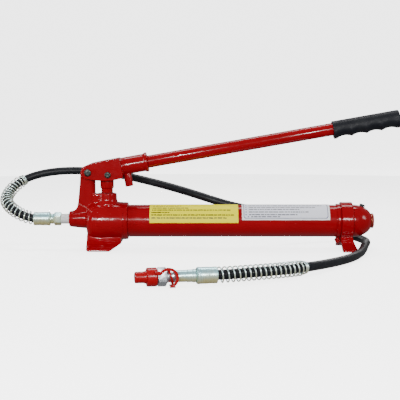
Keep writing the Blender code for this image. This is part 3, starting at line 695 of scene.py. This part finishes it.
def hose():
    """The hose and its two guards; gives back the tube, the guards and its length."""
    line = smooth_route(HOSE_ROUTE, 24)
    run = np.r_[0, np.cumsum(np.linalg.norm(np.diff(line, axis=0), axis=1))]
    near_a = float(np.interp(-END_A[0], -line[:60, 0], run[:60]))
    near_b = float(run[np.argmin(np.linalg.norm(line - np.array(END_B), axis=1))])
    hidden = 26.5  # how far the hose goes on inside its sleeves
    first, last = near_a - hidden, near_b + hidden
    count = int((last - first) / 5)
    stops = [first + (last - first) * i / count for i in range(count + 1)]
    points = [[np.interp(s, run, line[:, k]) for k in range(3)] for s in stops]
    tube = on_pump(wire("hose_tube", points, HOSE_R, HOSE, 7), "rubber", "hose")
    on_it = []
    ends = (("spring_guard_pump", near_a, 1), ("spring_guard_coupler", near_b, -1))
    for name, start, sign in ends:
        coil = wire(name + "_wire", guard_points(line, run, start, sign), GUARD_WIRE, ZINC_WIRE, 3)
        on_it.append(on_pump(coil, "spring_steel", name))
    return tube, on_it, (last - first) * MM


def pump_fitting():
    """Sleeve, hex end and taped thread between the hose and the head's port."""
    at = (0, 0, PORT_Z)
    ferrule("ferrule_pump_sleeve", "ferrule_pump", END_A)
    on_pump(lathe("hose_end_pump_body", [
        (3, -90.2), (7.8, -90.2), (7.8, -88), (9.0, -87.0), (9.0, -83.4), (7.6, -82.4),
        (7.6, -69.4), (7.3, -69.4), (7.3, -42), (6.6, -41), (3, -41)], ZINC, X, at, 64, 0.3),
            "zinc", "hose_end_pump")
    on_pump(hex_nut("hose_end_pump_hex", 20.5, -81.6, -69.4, 7.7, ZINC, X, at), "zinc")
    turns, rows = 7, 84

    def wrap(angle, along):
        step = ((along + 69) / 14.0 * turns + angle / tau) % 1.0
        return 1.0 + 0.05 * step

    outer = [(8.55, -69.0 + 13.9 * i / rows) for i in range(rows + 1)]
    outline = [(7.9, -69.0)] + outer + [(7.9, -55.1)]
    on_pump(lathe("thread_tape_wrap", outline, TAPE, X, at, 64, 0, ripple=wrap),
            "tape", "thread_tape")


def coupler_fitting():
    """Sleeve, hex end, coupler half and dust cap on the free end of the hose."""
    side = (-DIR_B[1], DIR_B[0], 0)
    turn = Matrix((DIR_B, side, Z)).transposed().to_4x4()
    line = Matrix.Translation(Vector(END_B)) @ turn
    at = (0, 0, 0)
    pieces = [ferrule("ferrule_coupler_sleeve", "ferrule_coupler", at, line)]

    def add(piece, slot_name, *nodes):
        pieces.append(on_pump(piece, slot_name, *nodes))

    add(lathe("hose_end_coupler_body", [
        (3, 27.6), (7.8, 27.6), (7.8, 30), (9.2, 30.8), (9.2, 34.5), (8.7, 35.2), (8.7, 42.6),
        (8.2, 43.4), (8.2, 56.4), (6.9, 56.4), (6.9, 66), (3, 66)],
        ZINC, X, at, 64, 0.3, line), "zinc", "hose_end_coupler")
    add(hex_nut("hose_end_coupler_hex", 20.5, 44, 56.6, 8.3, ZINC, X, at, line, 0.3), "zinc")
    add(lathe("quick_coupler_body", [
        (7.2, 58.5), (8.7, 58.5), (8.7, 61.5), (8.0, 62.3), (8.0, 68.6), (8.7, 69.4), (8.7, 71.6),
        (9.9, 71.9), (9.9, 84.8), (8.8, 85.2), (8.8, 100), (7.6, 104), (6.2, 105), (3.2, 105),
        (3.2, 68), (7.2, 68)], STEEL, X, at, 64, 0.3, line), "steel", "quick_coupler")
    add(hex_nut("quick_coupler_hex", 23.4, 72, 84.5, 10.0, STEEL, X, at, line, 0.15), "steel")
    add(lathe("dust_cap_shell", [
        (0, 106), (6.6, 105.6), (8, 104.4), (9.2, 100.4), (9.2, 85.6), (12.9, 85.6), (13.2, 86.4),
        (13.2, 98.6), (12.5, 99.5), (9.0, 99.8), (8.1, 101), (8, 115), (6.6, 116.2), (0, 116.2)],
        RED_PLASTIC, X, at, 72, 0.7, line), "red_plastic", "dust_cap")

    tilt = -radians(17)
    keeper = lathe("dust_cap_keeper_ring", hoop(10.4, 12.9, -1.3, 1.3), RED_PLASTIC,
                   (cos(tilt), 0, sin(tilt)), (66.4, 0, 0), 72, 0.9, line)

    # the strap: a link from the cap's collar, a loop, and a foot and tab on the hex end
    loop = arc(71, 0, 14.6, 30, 242, 40) + arc(71, 0, 10.6, 242, 30, 40)
    foot = [(61.2, -13.5), (69.6, -13.5), (67.4, -10.4), (61.6, -10.4)]
    tab = [(62.8, -13.5), (67.6, -13.5), (67.6, -11.3), (62.8, -11.3)]
    link = [(79.4, 8.0), (82.3, 4.6), (88.8, 5.6), (89.4, 9.6), (84, 10.0)]
    root = [(86.0, 5.6), (89.4, 5.8), (89.4, 9.4), (86.0, 9.6)]
    lumps = [slab(outline, "XZ", low, high, line) for outline, low, high in (
        (link, 13.6, 15.6), (root, 10.2, 15.4), (loop, 13.6, 15.6), (foot, 13.4, 15.8),
        (tab, -2, 15.0))]
    add(cast("dust_cap_strap_loop", lumps, RED_PLASTIC, 0.35, 3), "red_plastic", "dust_cap_strap")
    add(keeper, "red_plastic")
    return pieces


# ---- pump head

def head_casting():
    """Barrel, plunger boss, fulcrum post, port and foot in one casting, then its bores."""
    red = CAST_RED
    crown = [(HEAD_R - 0.9 * ((x - 2) / 45) ** 2, x) for x in np.linspace(-4, HEAD_RIGHT - 3, 24)]
    barrel = lathe("barrel", [
        (0, HEAD_LEFT), (22, HEAD_LEFT), (27, HEAD_LEFT + 1.6), (31, HEAD_LEFT + 5.2),
        (33.0, HEAD_LEFT + 10), *crown, (32.6, HEAD_RIGHT), (0, HEAD_RIGHT)],
        red, X, TUBE_AT, 96)
    boss = lathe("boss", [
        (0, 45), (20.5, 45), (20.5, 81), (18.6, 84.6), (17.5, 88), (17.0, 98.4), (16.2, BOSS_TOP),
        (0, BOSS_TOP)], red, Z, (PLUNGER_X, 0, 0), 80)
    left = [(-33.6, PIVOT[1]), (-34.3, 122), (-35.4, 110), (-36.6, 98), (-37.8, 86), (-39.6, 76),
            (-43.2, 70.5), (-49.5, 66.5), (-49.5, 45)]
    post = [(-17.2, 60), (-17.2, PIVOT[1])] + arc(-20.8, PIVOT[1], 12.6, 60, 165, 12) + left
    post = plate("post", post, "XZ", -12.2, 12.2, red, 2.4)
    edges = [lathe("edge", [(0, 60), (9, 60), (9, 141), (8, 144), (0, 145)], red, Z,
                   (-17.2, y, 0), 48) for y in (-3.2, 3.2)]
    edges.append(slab([(-20, 60), (-8.2, 60), (-8.2, 141), (-12, 145), (-20, 145)], "XZ",
                      -3.2, 3.2))
    shelf = plate("shelf", hoop(-12, 6, 60, 98.6), "XZ", -11.4, 11.4, red, 1.5)
    port = lathe("port", [
        (0, -10), (18.2, -10), (16.6, -30), (14.7, -48), (13.8, -53.6), (12.4, PORT_X),
        (0, PORT_X)], red, X, (0, 0, PORT_Z), 80)
    skirt = [(42.2, 0), (42.2, 3.6), (36.8, 6.8), (28.8, 12.2), (21.8, 19.2), (18.4, 28)]
    skirt += [(-y, z) for y, z in reversed(skirt)]
    foot = plate("foot", skirt, "YZ", -22.2, 38.5, red)
    corner = [(18.5, -5), (60, -5), (60, 18), (44, 15.6), (18.5, 0)]
    heel = [(-30, -5), (-18.5, -5), (-18.5, 0), (-21.2, 2.4), (-22.2, 8), (-30, 8)]
    carve(foot, slab(corner, "XZ", -60, 60), slab(heel, "XZ", -60, 60))
    made = cast("pump_head_casting", [barrel, boss, post, shelf, port, foot, *edges], red, 0.85, 6)
    groove = bore([(32.9, 41.8), (40, 41.0), (40, 43.8), (32.9, 43.0)], X, TUBE_AT, 96)
    carve(made, groove,
            bore(rod(28.8, 36, 60), X, TUBE_AT, 96),
            bore([(0, 30), (12, 30), (12, 62), (PLUNGER_R + 0.3, 64), (PLUNGER_R + 0.3, 84),
                  (14, 84), (14, 98.9), (14.8, 99.7), (14.8, 110), (0, 110)], Z, (PLUNGER_X, 0, 0)),
            bore([(0, -60), (9.3, -60), (9.3, -54.5), (8.3, -53.2), (8.3, -40.6), (5.6, -40.6),
                  (5.6, -24), (0, -24)], X, (0, 0, PORT_Z)),
            bore(rod(9.7, 33.0, 45), Y, RELEASE),
            bore([(0, 1), (1.8, 1), (1.8, 10), (4.4, 10), (4.4, 40), (0, 40)], Y, RELEASE),
            bore([(0, 8), (1.5, 8), (1.5, 16), (4.4, 16), (4.4, 40), (0, 40)], Y,
                 (PLUNGER_X, 0, 42)),
            bore(rod(5.1, -15, 15), Y, (PIVOT[0], 0, PIVOT[1])))
    return on_pump(made, "red_paint", "pump_head")


def cast_marks(head):
    """Small raised foundry strokes on the near side of the head, with pale tops that are partly
    wear and partly painted highlight.
    """
    random.seed(4)
    strokes = []
    for k in range(9):
        x = -34.2 + 2.7 * k
        z = 80.4 - 1.5 * k + random.uniform(-0.8, 0.8)
        spot, facing = head.ray_cast((x * MM, -0.1, z * MM), Y)[1:3]
        lean = radians(random.choice((-35, -15, 25, 60)))
        half = random.uniform(1.1, 2.0)
        dx, dy = half * sin(lean), half * cos(lean)
        nx, ny = 0.5 * cos(lean), -0.5 * sin(lean)
        outline = [(-dx - nx, -dy - ny), (dx - nx, dy - ny), (dx + nx, dy + ny),
                   (-dx + nx, -dy + ny)]
        strokes.append(plate("stroke", outline, "XY", -0.8, 0.55, CAST_WORN_AND_HIGHLIT, 0.2,
                             placed(facing, spot / MM)))
    on_pump(cast("foundry_strokes", strokes, CAST_WORN_AND_HIGHLIT, 0.25, 2), "red_paint")


def head_fittings():
    """The gland nut with its four spanner notches, and the wiper inside it."""
    up = (PLUNGER_X, 0, 0)
    nut = lathe("gland_nut_ring", [
        (PLUNGER_R + 0.4, 89.9), (13.7, 89.9), (13.7, 99.2), (13.1, 99.8), (12.4, 99.8),
        (12.4, 95.4), (PLUNGER_R + 0.4, 95.4)], CAST_RED, Z, up, 80, 0.3)
    for k in range(4):
        a = tau * k / 4 + 0.4
        spot = (PLUNGER_X + 13.6 * cos(a), 13.6 * sin(a), 0)
        carve(nut, bore(rod(1.3, 97.4, 102), Z, spot, 20))
    on_pump(nut, "red_paint", "gland_nut")
    on_pump(lathe("plunger_wiper_lip", [
        (PLUNGER_R + 0.25, 95.7), (12.1, 95.7), (12.1, 98.4), (11.1, 100.3),
        (PLUNGER_R + 0.25, 100.3)], SEAL, Z, up, 72, 0.4), "seal", "plunger_wiper")


def release_valve():
    """The stem, its fluted knob and the stud that shows in it."""
    flutes = 20
    stands_for(lathe("release_stem_turned", [
        (0, 14.8), (3.2, 14.8), (4.1, 15.8), (4.1, 22.8), (2.9, 22.8), (2.9, 25.2), (4.1, 25.2),
        (4.1, 38.4), (3.3, 39), (3.3, 52), (0, 52)], STEEL, Y, RELEASE, 48, 0.3),
            "release_valve", "steel", "release_stem")

    def fluted(angle, along):
        grip = min(1, max(0, (along - 46) / 1.6)) * min(1, max(0, (57.8 - along) / 1.6))
        return 1 - 0.045 * grip * max(0.0, cos(flutes * angle)) ** 0.7

    outline = [(3.5, 39.4), (8.5, 39.4), (9.5, 41), (9.5, 44), (14.2, 46), (15.4, 47.6)]
    outline += [(15.4, 47.6 + 8.8 * i / 8) for i in range(1, 9)]
    outline += [(14.2, 58), (11.2, 58.0), (10.6, 57.2), (3.5, 57.2)]
    knob = lathe("release_knob_fluted", outline, DARK_STEEL, Y, RELEASE, 160, 0.35, ripple=fluted)
    stands_for(knob, "release_valve", "black_steel", "release_knob")
    stud = [(0, 52.6), (3.2, 52.6), (3.2, 57.8), (2.6, 58.4), (0, 58.6)]
    stands_for(lathe("release_knob_stud", stud, STEEL, Y, RELEASE, 40, 0.2), "release_valve",
               "steel")


# ---- plunger and lever

def plunger():
    """The plunger, slotted for the lever's second pin."""
    made = lathe("plunger_rod", [
        (0, 50), (9.2, 50), (PLUNGER_R, 51), (PLUNGER_R, 107.4), (10.8, 108.2), (11.8, 109.0),
        (12, 110), (12, 143.6), (0, 143.6)], TUBE_RED, Z, (PLUNGER_X, 0, 0), 80, 0.4)
    crown = [(-2, 134)] + arc(PLUNGER_X, 132.2, 11.2, 170, 10, 20)
    crown += [(27, 134), (27, 150), (-2, 150)]
    mid, half = PLUNGER_X + 0.7, 2.6
    slot = arc(mid + half, PIN2[1], 5.2, -90, 90, 20) + arc(mid - half, PIN2[1], 5.2, 90, 270, 20)
    carve(made, slab(crown, "XZ", -15, 15), slab(slot, "XZ", -15, 15))
    stands_for(beveled(made, 0.35, 50, 60), "plunger", "red_paint", "plunger")


def pin2_local():
    """The second pin as (along the handle, up from it)."""
    dx, dz = PIN2[0] - PIVOT[0], PIN2[1] - PIVOT[1]
    t = radians(LEVER_TILT)
    return dx * cos(t) + dz * sin(t), dz * cos(t) - dx * sin(t)


def socket(lever, second):
    """The forged fork with its sleeve for the handle tube, and its locking peg."""
    red, peg_at = CAST_RED, (66.4, 0, 0)
    side = [(-11, -6)] + arc(0, 0, 11.8, 205, 112, 10) + [(0, 13.4), (8, 15.2), (30, 16.0),
            (56.5, 16.2), (59, 14.5), (59.6, 10), (59.6, -17), (57.8, -20.3), (40, -21),
            (24.7, -19.3), (10, -15.6), (2.9, -13), (-6, -10)]
    made = plate("handle_socket_forging", side, "XZ", -CHEEK_OUT, CHEEK_OUT, red, 1.6, lever)
    inside = [(-20, -30), (54, -30), (54, 8), (48, 30), (-20, 30)]
    carve(made, slab(inside, "XZ", -CHEEK_IN, CHEEK_IN, lever))
    tube = lathe("tube", [(0, 50), (14.8, 50), (15.2, 60), (15.6, 68), (15.6, 99.5), (16.6, 100.6),
                          (17.3, 102), (17.3, 105), (16.6, 106), (0, 106)], red, X, (0, 0, 0), 80,
                 0.6, lever)
    made = cast("handle_socket_forging", [made, tube], red, 0.6, 2)
    mouth = bore([(0, 74), (HANDLE_R + 0.3, 74), (HANDLE_R + 0.3, 104.6), (12.4, 106.4),
                  (12.4, 120), (0, 120)], X, (0, 0, 0), 80, lever)
    peg_hole = bore(rod(4.1, -30, -5.6), Z, peg_at, 40, lever)
    holes = [bore(rod(r, -30, 30), Y, (at[0], 0, at[1]), 56, lever)
             for r, at in ((5.05, (0, 0)), (4.65, second))]
    carve(made, mouth, peg_hole, *holes)
    stands_for(made, "lever", "red_paint", "handle_socket")
    stands_for(lathe("socket_lock_peg_turned", [
        (0, -37), (6.0, -37), (7.0, -36), (7.0, -12), (3.8, -12), (3.8, -6), (0, -6)],
        red, Z, peg_at, 56, 0.6, lever), "lever", "red_paint", "socket_lock_peg")


def pins(lever, second):
    """Two headed pins, each with an eared circlip."""
    for name, r, head, at in (("fulcrum_pin", 4.9, 6.2, (0, 0)), ("plunger_pin", 4.5, 5.5, second)):
        made = lathe(name + "_turned", [
            (0, -24.0), (head - 2.4, -24.2), (head - 0.9, -23.9), (head, -23.1), (head, -20.8),
            (r, -20.8), (r, 21.0), (r - 0.9, 21.0), (r - 0.9, 22.6), (r, 22.6), (r, 23.6),
            (r - 0.9, 24.4), (0, 24.4)], DARK_STEEL, Y, (at[0], 0, at[1]), 56, 0.3, lever)
        stands_for(made, "lever", "black_steel", name)
        ears = [(at[0] + (r + 2.1) * cos(a), at[1] + (r + 2.1) * sin(a))
                for a in (radians(-68), radians(248))]
        ring = arc(at[0], at[1], r + 2.6, -60, 240, 40) + arc(at[0], at[1], r - 0.6, 240, -60, 40)
        clip = plate(name + "_circlip", ring, "XZ", 21.35, 22.25, STEEL, 0.15, lever)
        for x, z in ears:
            combine(clip, "UNION", lathe("ear", rod(1.5, 21.35, 22.25), STEEL, Y, (x, 0, z), 20,
                                         0.1, lever))
        stands_for(clip, "lever", "steel", name + "_clip")


def grip(lever):
    """Ribbed rubber grip: fine rings all round, four finger hollows underneath."""
    start, end = GRIP
    rows, around, rib, finger = 300, 72, 2.15, 26.8
    bm = bmesh.new()
    rings = []
    for i in range(rows + 1):
        u = start + (end - start) * i / rows
        phase = (u - start - 5) / finger
        inside = 0 <= phase <= 4.05
        cusp = 1 - abs(sin(pi * phase)) ** 0.75 if inside else 1.0
        edge = min(u - start, end - u)
        round_off = 3.4 if u > (start + end) / 2 else 1.0
        trim = round_off * (1 - sqrt(1 - max(0.0, 1 - edge / round_off) ** 2))
        groove = 0.0 if edge < 3 else 0.4 * (0.5 + 0.5 * cos(tau * (u - start) / rib))
        loop = []
        for j in range(around):
            a = tau * j / around
            under = max(0.0, -sin(a)) ** 0.8
            ribbed = groove * max(0.0, min(1.0, 0.35 + 1.3 * sin(a)))
            r = 14.2 + 3.5 * cusp * under - trim - ribbed
            loop.append(bm.verts.new((u, r * cos(a), r * sin(a))))
        rings.append(loop)
    join_rings(bm, rings)
    bm.faces.new(rings[0])
    bm.faces.new(rings[-1])
    made = finish_mesh("handle_grip_ribbed", bm, GRIP_RUBBER, lever, 50)
    carve(made, bore([
        (0, 400), (12.0, 400), (12.0, start + 0.4), (HANDLE_R + 0.3, start + 1.4),
        (HANDLE_R + 0.3, 540.5), (0, 540.5)], X, (0, 0, 0), 72, lever), sharp=50)
    stands_for(made, "lever", "rubber", "handle_grip")


def lever_pieces():
    """Everything that swings, placed from the fulcrum with +X out along the handle."""
    turn = Matrix.Rotation(-radians(LEVER_TILT), 4, "Y")
    lever = Matrix.Translation(Vector((PIVOT[0], 0, PIVOT[1]))) @ turn
    second = pin2_local()
    socket(lever, second)
    pins(lever, second)
    stands_for(lathe("handle_tube_drawn", hoop(HANDLE_R - 2.2, HANDLE_R, 74.4, 540), TUBE_RED, X,
                 (0, 0, 0), 80, 0.4, lever), "lever", "red_paint", "handle_tube")
    grip(lever)


# ---- reservoir

def reservoir():
    """Oil tube, domed end cap with its central plug, and the small filler plug."""
    tube = hoop(25.5, TUBE_R, 38.2, 445.0)
    on_pump(lathe("reservoir_tube_drawn", tube, TUBE_RED, X, TUBE_AT, 120, 0.4),
            "red_paint", "reservoir_tube")
    base = CAP_X + 3.2
    dome = [(25.2, 430), (25.2, CAP_X), (CAP_R, CAP_X), (CAP_R, base)]
    dome += [(CAP_R * cos(a), base + 34.5 * sin(a)) for a in np.radians(np.linspace(7, 63, 14))]
    dome += [(12, DOME_X), (8.4, DOME_X), (8.4, DOME_X - 5)]
    dome += [(22.6 * cos(a), base + 29 * sin(a)) for a in np.radians(np.linspace(60, 15, 8))]
    dome += [(22.2, base), (22.2, 430)]
    cap = lathe("end_cap_dome", dome, CAST_RED, X, TUBE_AT, 120, 0.5)
    lean = radians(FILLER_LEAN)
    axis = (sin(lean), 0, cos(lean))
    carve(cap, bore(rod(3.7, -12, 6), axis, FILLER, 40),
            bore([(0, -0.9), (6.4, -0.9), (6.8, 4), (0, 4)], axis, FILLER, 56))
    on_pump(cap, "red_paint", "end_cap")
    on_pump(lathe("end_plug_turned", [
        (0, 484.6), (5.5, 484.6), (6.2, 485.4), (12.2, 485.4), (13.4, 484.2), (13.4, 482.3),
        (8, 482.3), (8, 471), (4.3, 471), (4.3, 481), (0, 481)], CAST_RED, X, TUBE_AT, 80, 0.4),
            "red_paint", "end_plug")
    washer = hoop(8.4, 12.2, 481.3, 482.0)
    on_pump(lathe("end_plug_washer_ring", washer, COPPER, X, TUBE_AT, 72, 0.15),
            "copper", "end_plug_washer")

    def knurl(angle, along):
        return 1 - 0.05 * max(0.0, cos(16 * angle)) if 0.8 < along < 3.3 else 1.0

    stands_for(lathe("filler_plug_moulded", [
        (0, -7.5), (2.8, -7.5), (3.4, -6.8), (3.4, 0.5), (4.9, 0.6), (4.9, 1.4), (4.9, 2.3),
        (4.9, 3.0), (4.1, 4.1), (0, 4.3)], BLACK_PLASTIC, axis, FILLER, 128, 0.25, ripple=knurl),
            "filler_plug", "black_plastic", "filler_plug")
    on_pump(lathe("filler_washer_ring", hoop(3.8, 5.6, -0.6, 0.2), SEAL, axis, FILLER, 48, 0.2),
            "seal", "filler_washer")


def rear_foot():
    """A band rolled round the tube with bent legs welded under it."""
    red = TUBE_RED
    low, high = BAND_X
    band = lathe("band", hoop(25, 33.4, low, high), red, X, TUBE_AT, 120, 1.0)
    leg = [(52, 0), (52, 3.2), (46.5, 4.6), (30, 12.6), (18, 24), (-18, 24), (-30, 12.6),
           (-46.5, 4.6), (-52, 3.2), (-52, 0), (-38, 0), (-18, 10.8), (18, 10.8), (38, 0)]
    legs = plate("legs", eased(leg, 3.5), "YZ", low, high + 5, red)
    flare = [(high, 30), (high, 19), (high + 3, 9), (high + 5, 3), (high + 9, 3), (high + 9, 30)]
    carve(legs, slab(eased(flare, 3), "XZ", -60, 60))
    made = cast("rear_foot_band", [band, legs], red, 0.7, 4)
    carve(made, bore(rod(28.9, 420, 460), X, TUBE_AT, 120))
    on_pump(made, "red_paint", "rear_foot")


def tube_clamp():
    """The thin band beside the rear foot, pinched by a small screw under the tube."""
    red, (low, high) = TUBE_RED, (419.2, 425.4)
    band = lathe("tube_clamp_band", hoop(28.8, 30.2, low, high), red, X, TUBE_AT, 96, 0.3)
    ears = plate("ears", eased(hoop(-6, 6, 10.6, 24), 1.5), "YZ", low, high, red, 0.4)
    carve(ears, bore(rod(28.8, 410, 440), X, TUBE_AT, 96))
    combine(band, "UNION", ears)
    spot = (421.6, 0, 15.0)
    carve(band, slab(hoop(-1.5, 1.5, 0, 30), "YZ", 410, 440),
            bore(rod(2.2, -20, 20), Y, spot, 32))
    on_pump(band, "red_paint", "tube_clamp")
    screw = lathe("clamp_screw_turned", [
        (0, -9.8), (3.0, -9.8), (4.0, -9.0), (4.0, -6.3), (1.95, -6.3), (1.95, 10.4), (0, 10.4)],
        red, Y, spot, 40, 0.3)
    carve(screw, hex_nut("cut", 3.2, -11, -7.6, 0, red, Y, spot))
    on_pump(screw, "red_paint", "clamp_screw")
    on_pump(hex_nut("clamp_nut_hex", 6.4, 6.3, 9.6, 2.2, red, Y, spot), "red_paint", "clamp_nut")


# ---- labels

def on_tube(x, s, lift):
    """The point at x along the tube and s round it, up from the near side."""
    a = s / LABEL_R
    r = LABEL_R + lift
    return (x, -r * cos(a), TUBE_Z + r * sin(a))


def patch(bm, x0, x1, s0, s1, low, high):
    """A thin closed patch of film or print that follows the tube."""
    across = max(1, int(abs(s1 - s0) / 0.8))
    along = max(1, int(abs(x1 - x0) / 12))
    grid = {}
    for layer, lift in enumerate((low, high)):
        for i in range(along + 1):
            for j in range(across + 1):
                spot = on_tube(x0 + (x1 - x0) * i / along, s0 + (s1 - s0) * j / across, lift)
                grid[layer, i, j] = bm.verts.new(spot)

    def quad(*corners):
        bm.faces.new([grid[corner] for corner in corners])

    for i in range(along):
        for j in range(across):
            for k in (0, 1):
                quad((k, i, j), (k, i + 1, j), (k, i + 1, j + 1), (k, i, j + 1))
    for i in range(along):
        for j in (0, across):
            quad((0, i, j), (0, i + 1, j), (1, i + 1, j), (1, i, j))
    for j in range(across):
        for i in (0, along):
            quad((0, i, j), (0, i, j + 1), (1, i, j + 1), (1, i, j))


def printed_rows(name, rows, mat, slot_name, seed):
    """Rows of plain bars that stand for print; each row is (x from, x to, s, height)."""
    random.seed(seed)
    bm = bmesh.new()
    for x0, x1, s, height in rows:
        x = x0
        while x < x1 - 1.5:
            step = min(random.uniform(2.5, 9.5), x1 - x)
            patch(bm, x, x + step, s, s + height, 0.26, 0.30)
            x += step + random.uniform(0.8, 1.3)
    on_pump(finish_mesh(name, bm, mat), slot_name)


def label_sheet(name, x0, x1, bottom, top, mat, slot_name, *nodes, low=0.02, high=0.24):
    """A film round the tube from bottom to top, in degrees."""
    bm = bmesh.new()
    patch(bm, x0, x1, radians(bottom) * LABEL_R, radians(top) * LABEL_R, low, high)
    on_pump(finish_mesh(name, bm, mat), slot_name, *nodes)


def rounded(x0, x1, s0, s1, r):
    """A box with rounded corners."""
    corners = [(x1 - r, s1 - r, 0), (x0 + r, s1 - r, 90), (x0 + r, s0 + r, 180),
               (x1 - r, s0 + r, 270)]
    return [p for cx, cs, a in corners for p in arc(cx, cs, r, a, a + 90, 6)]


def dense(points, step):
    """The closed outline with points no further apart than about a step."""
    found = []
    for a, b in zip(points, points[1:] + points[:1]):
        count = max(1, int(dist(a, b) / step))
        found += [(a[0] + (b[0] - a[0]) * k / count, a[1] + (b[1] - a[1]) * k / count)
                  for k in range(count)]
    return found


def frame_line(name, x0, x1, s0, s1, width, mat, slot_name):
    """A rounded border line printed on a label."""
    corner = 4.0
    outer = dense(rounded(x0, x1, s0, s1, corner), 1.5)
    middle = ((x0 + x1) / 2, (s0 + s1) / 2)
    inner = []
    for x, s in outer:
        dx = min(width, abs(x - middle[0])) * (1 if x < middle[0] else -1)
        ds = min(width, abs(s - middle[1])) * (1 if s < middle[1] else -1)
        near_side = min(x - x0, x1 - x) < corner
        near_row = min(s - s0, s1 - s) < corner
        inner.append((x + (dx if near_side else 0), s + (ds if near_row else 0)))
    bm = bmesh.new()
    join_rings(bm, [[bm.verts.new(on_tube(x, s, lift)) for x, s in line] for line, lift in
                    ((outer, 0.25), (inner, 0.25), (inner, 0.29), (outer, 0.29))], True)
    on_pump(finish_mesh(name, bm, mat), slot_name)


def labels():
    """Yellow and white films with plain bars in place of words."""
    label_sheet("warning_label_film", *WARNING_LABEL, YELLOW, "label_yellow", "warning_label")
    rows = [(a, b, s, 2.1) for a, b, s in (
        (94, 144, 33.1), (94, 157, 27.0), (93, 231, 22.1), (92, 124, 17.0), (92, 237, 12.1),
        (92, 226, 6.7))]
    printed_rows("warning_label_heading", rows[:1], BROWN_INK, "label_yellow", 3)
    printed_rows("warning_label_rows", rows[1:], OLIVE_INK, "label_yellow", 5)
    label_sheet("rating_label_film", *RATING_LABEL, WHITE_EDGE, "label_white", "rating_label")
    s0, s1 = (radians(a) * LABEL_R for a in RATING_LABEL[2:])
    frame_line("rating_label_border", 253.8, 402.2, s0 + 2.6, s1 - 2.6, 1.1, BLUE_INK,
               "label_white")
    label_sheet("rating_label_panel", 255.2, 400.8, 15.8, 88.6, WHITE, "label_white",
                low=0.241, high=0.262)
    spans = [(257, 392, 34.7), (257, 380, 28.8), (257, 352, 23.7), (257, 368, 18.1),
             (257, 348, 12.9), (261, 318, 9.2)]
    rows = [(a + 6, b, s, 1.8) for a, b, s in spans]
    marks = [(span[0], span[0] + 2.4, span[2], 1.8) for span in spans]
    printed_rows("rating_label_rows", rows, GREY_INK, "label_white", 7)
    printed_rows("rating_label_bullets", marks, BLUE_INK, "label_white", 8)


# ---- inner pieces

def dress_inner():
    """CAD nodes that stay as they are and only get a finish."""
    finishes = {
        STEEL: ["intake_seat", "outlet_spring", "relief_spring", "tie_rod"],
        BALL_STEEL: ["intake_ball", "outlet_ball", "release_ball", "relief_ball"],
        DARK_STEEL: ["relief_screw"],
        SEAL: ["plunger_seal", "release_o_ring", "tube_gasket_front", "tube_gasket_rear"],
        ZINC: ["suction_tube"],
        BRASS: ["suction_strainer"],
    }
    for mat, names in finishes.items():
        for name in names:
            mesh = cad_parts[name].data
            mesh.materials.clear()
            mesh.materials.append(mat)


camera()
studio()
HOSE_TUBE, ON_HOSE, HOSE_LENGTH = hose()
pump_fitting()
ON_HOSE += coupler_fitting()
cast_marks(head_casting())
head_fittings()
release_valve()
plunger()
lever_pieces()
reservoir()
rear_foot()
tube_clamp()
labels()
dress_inner()
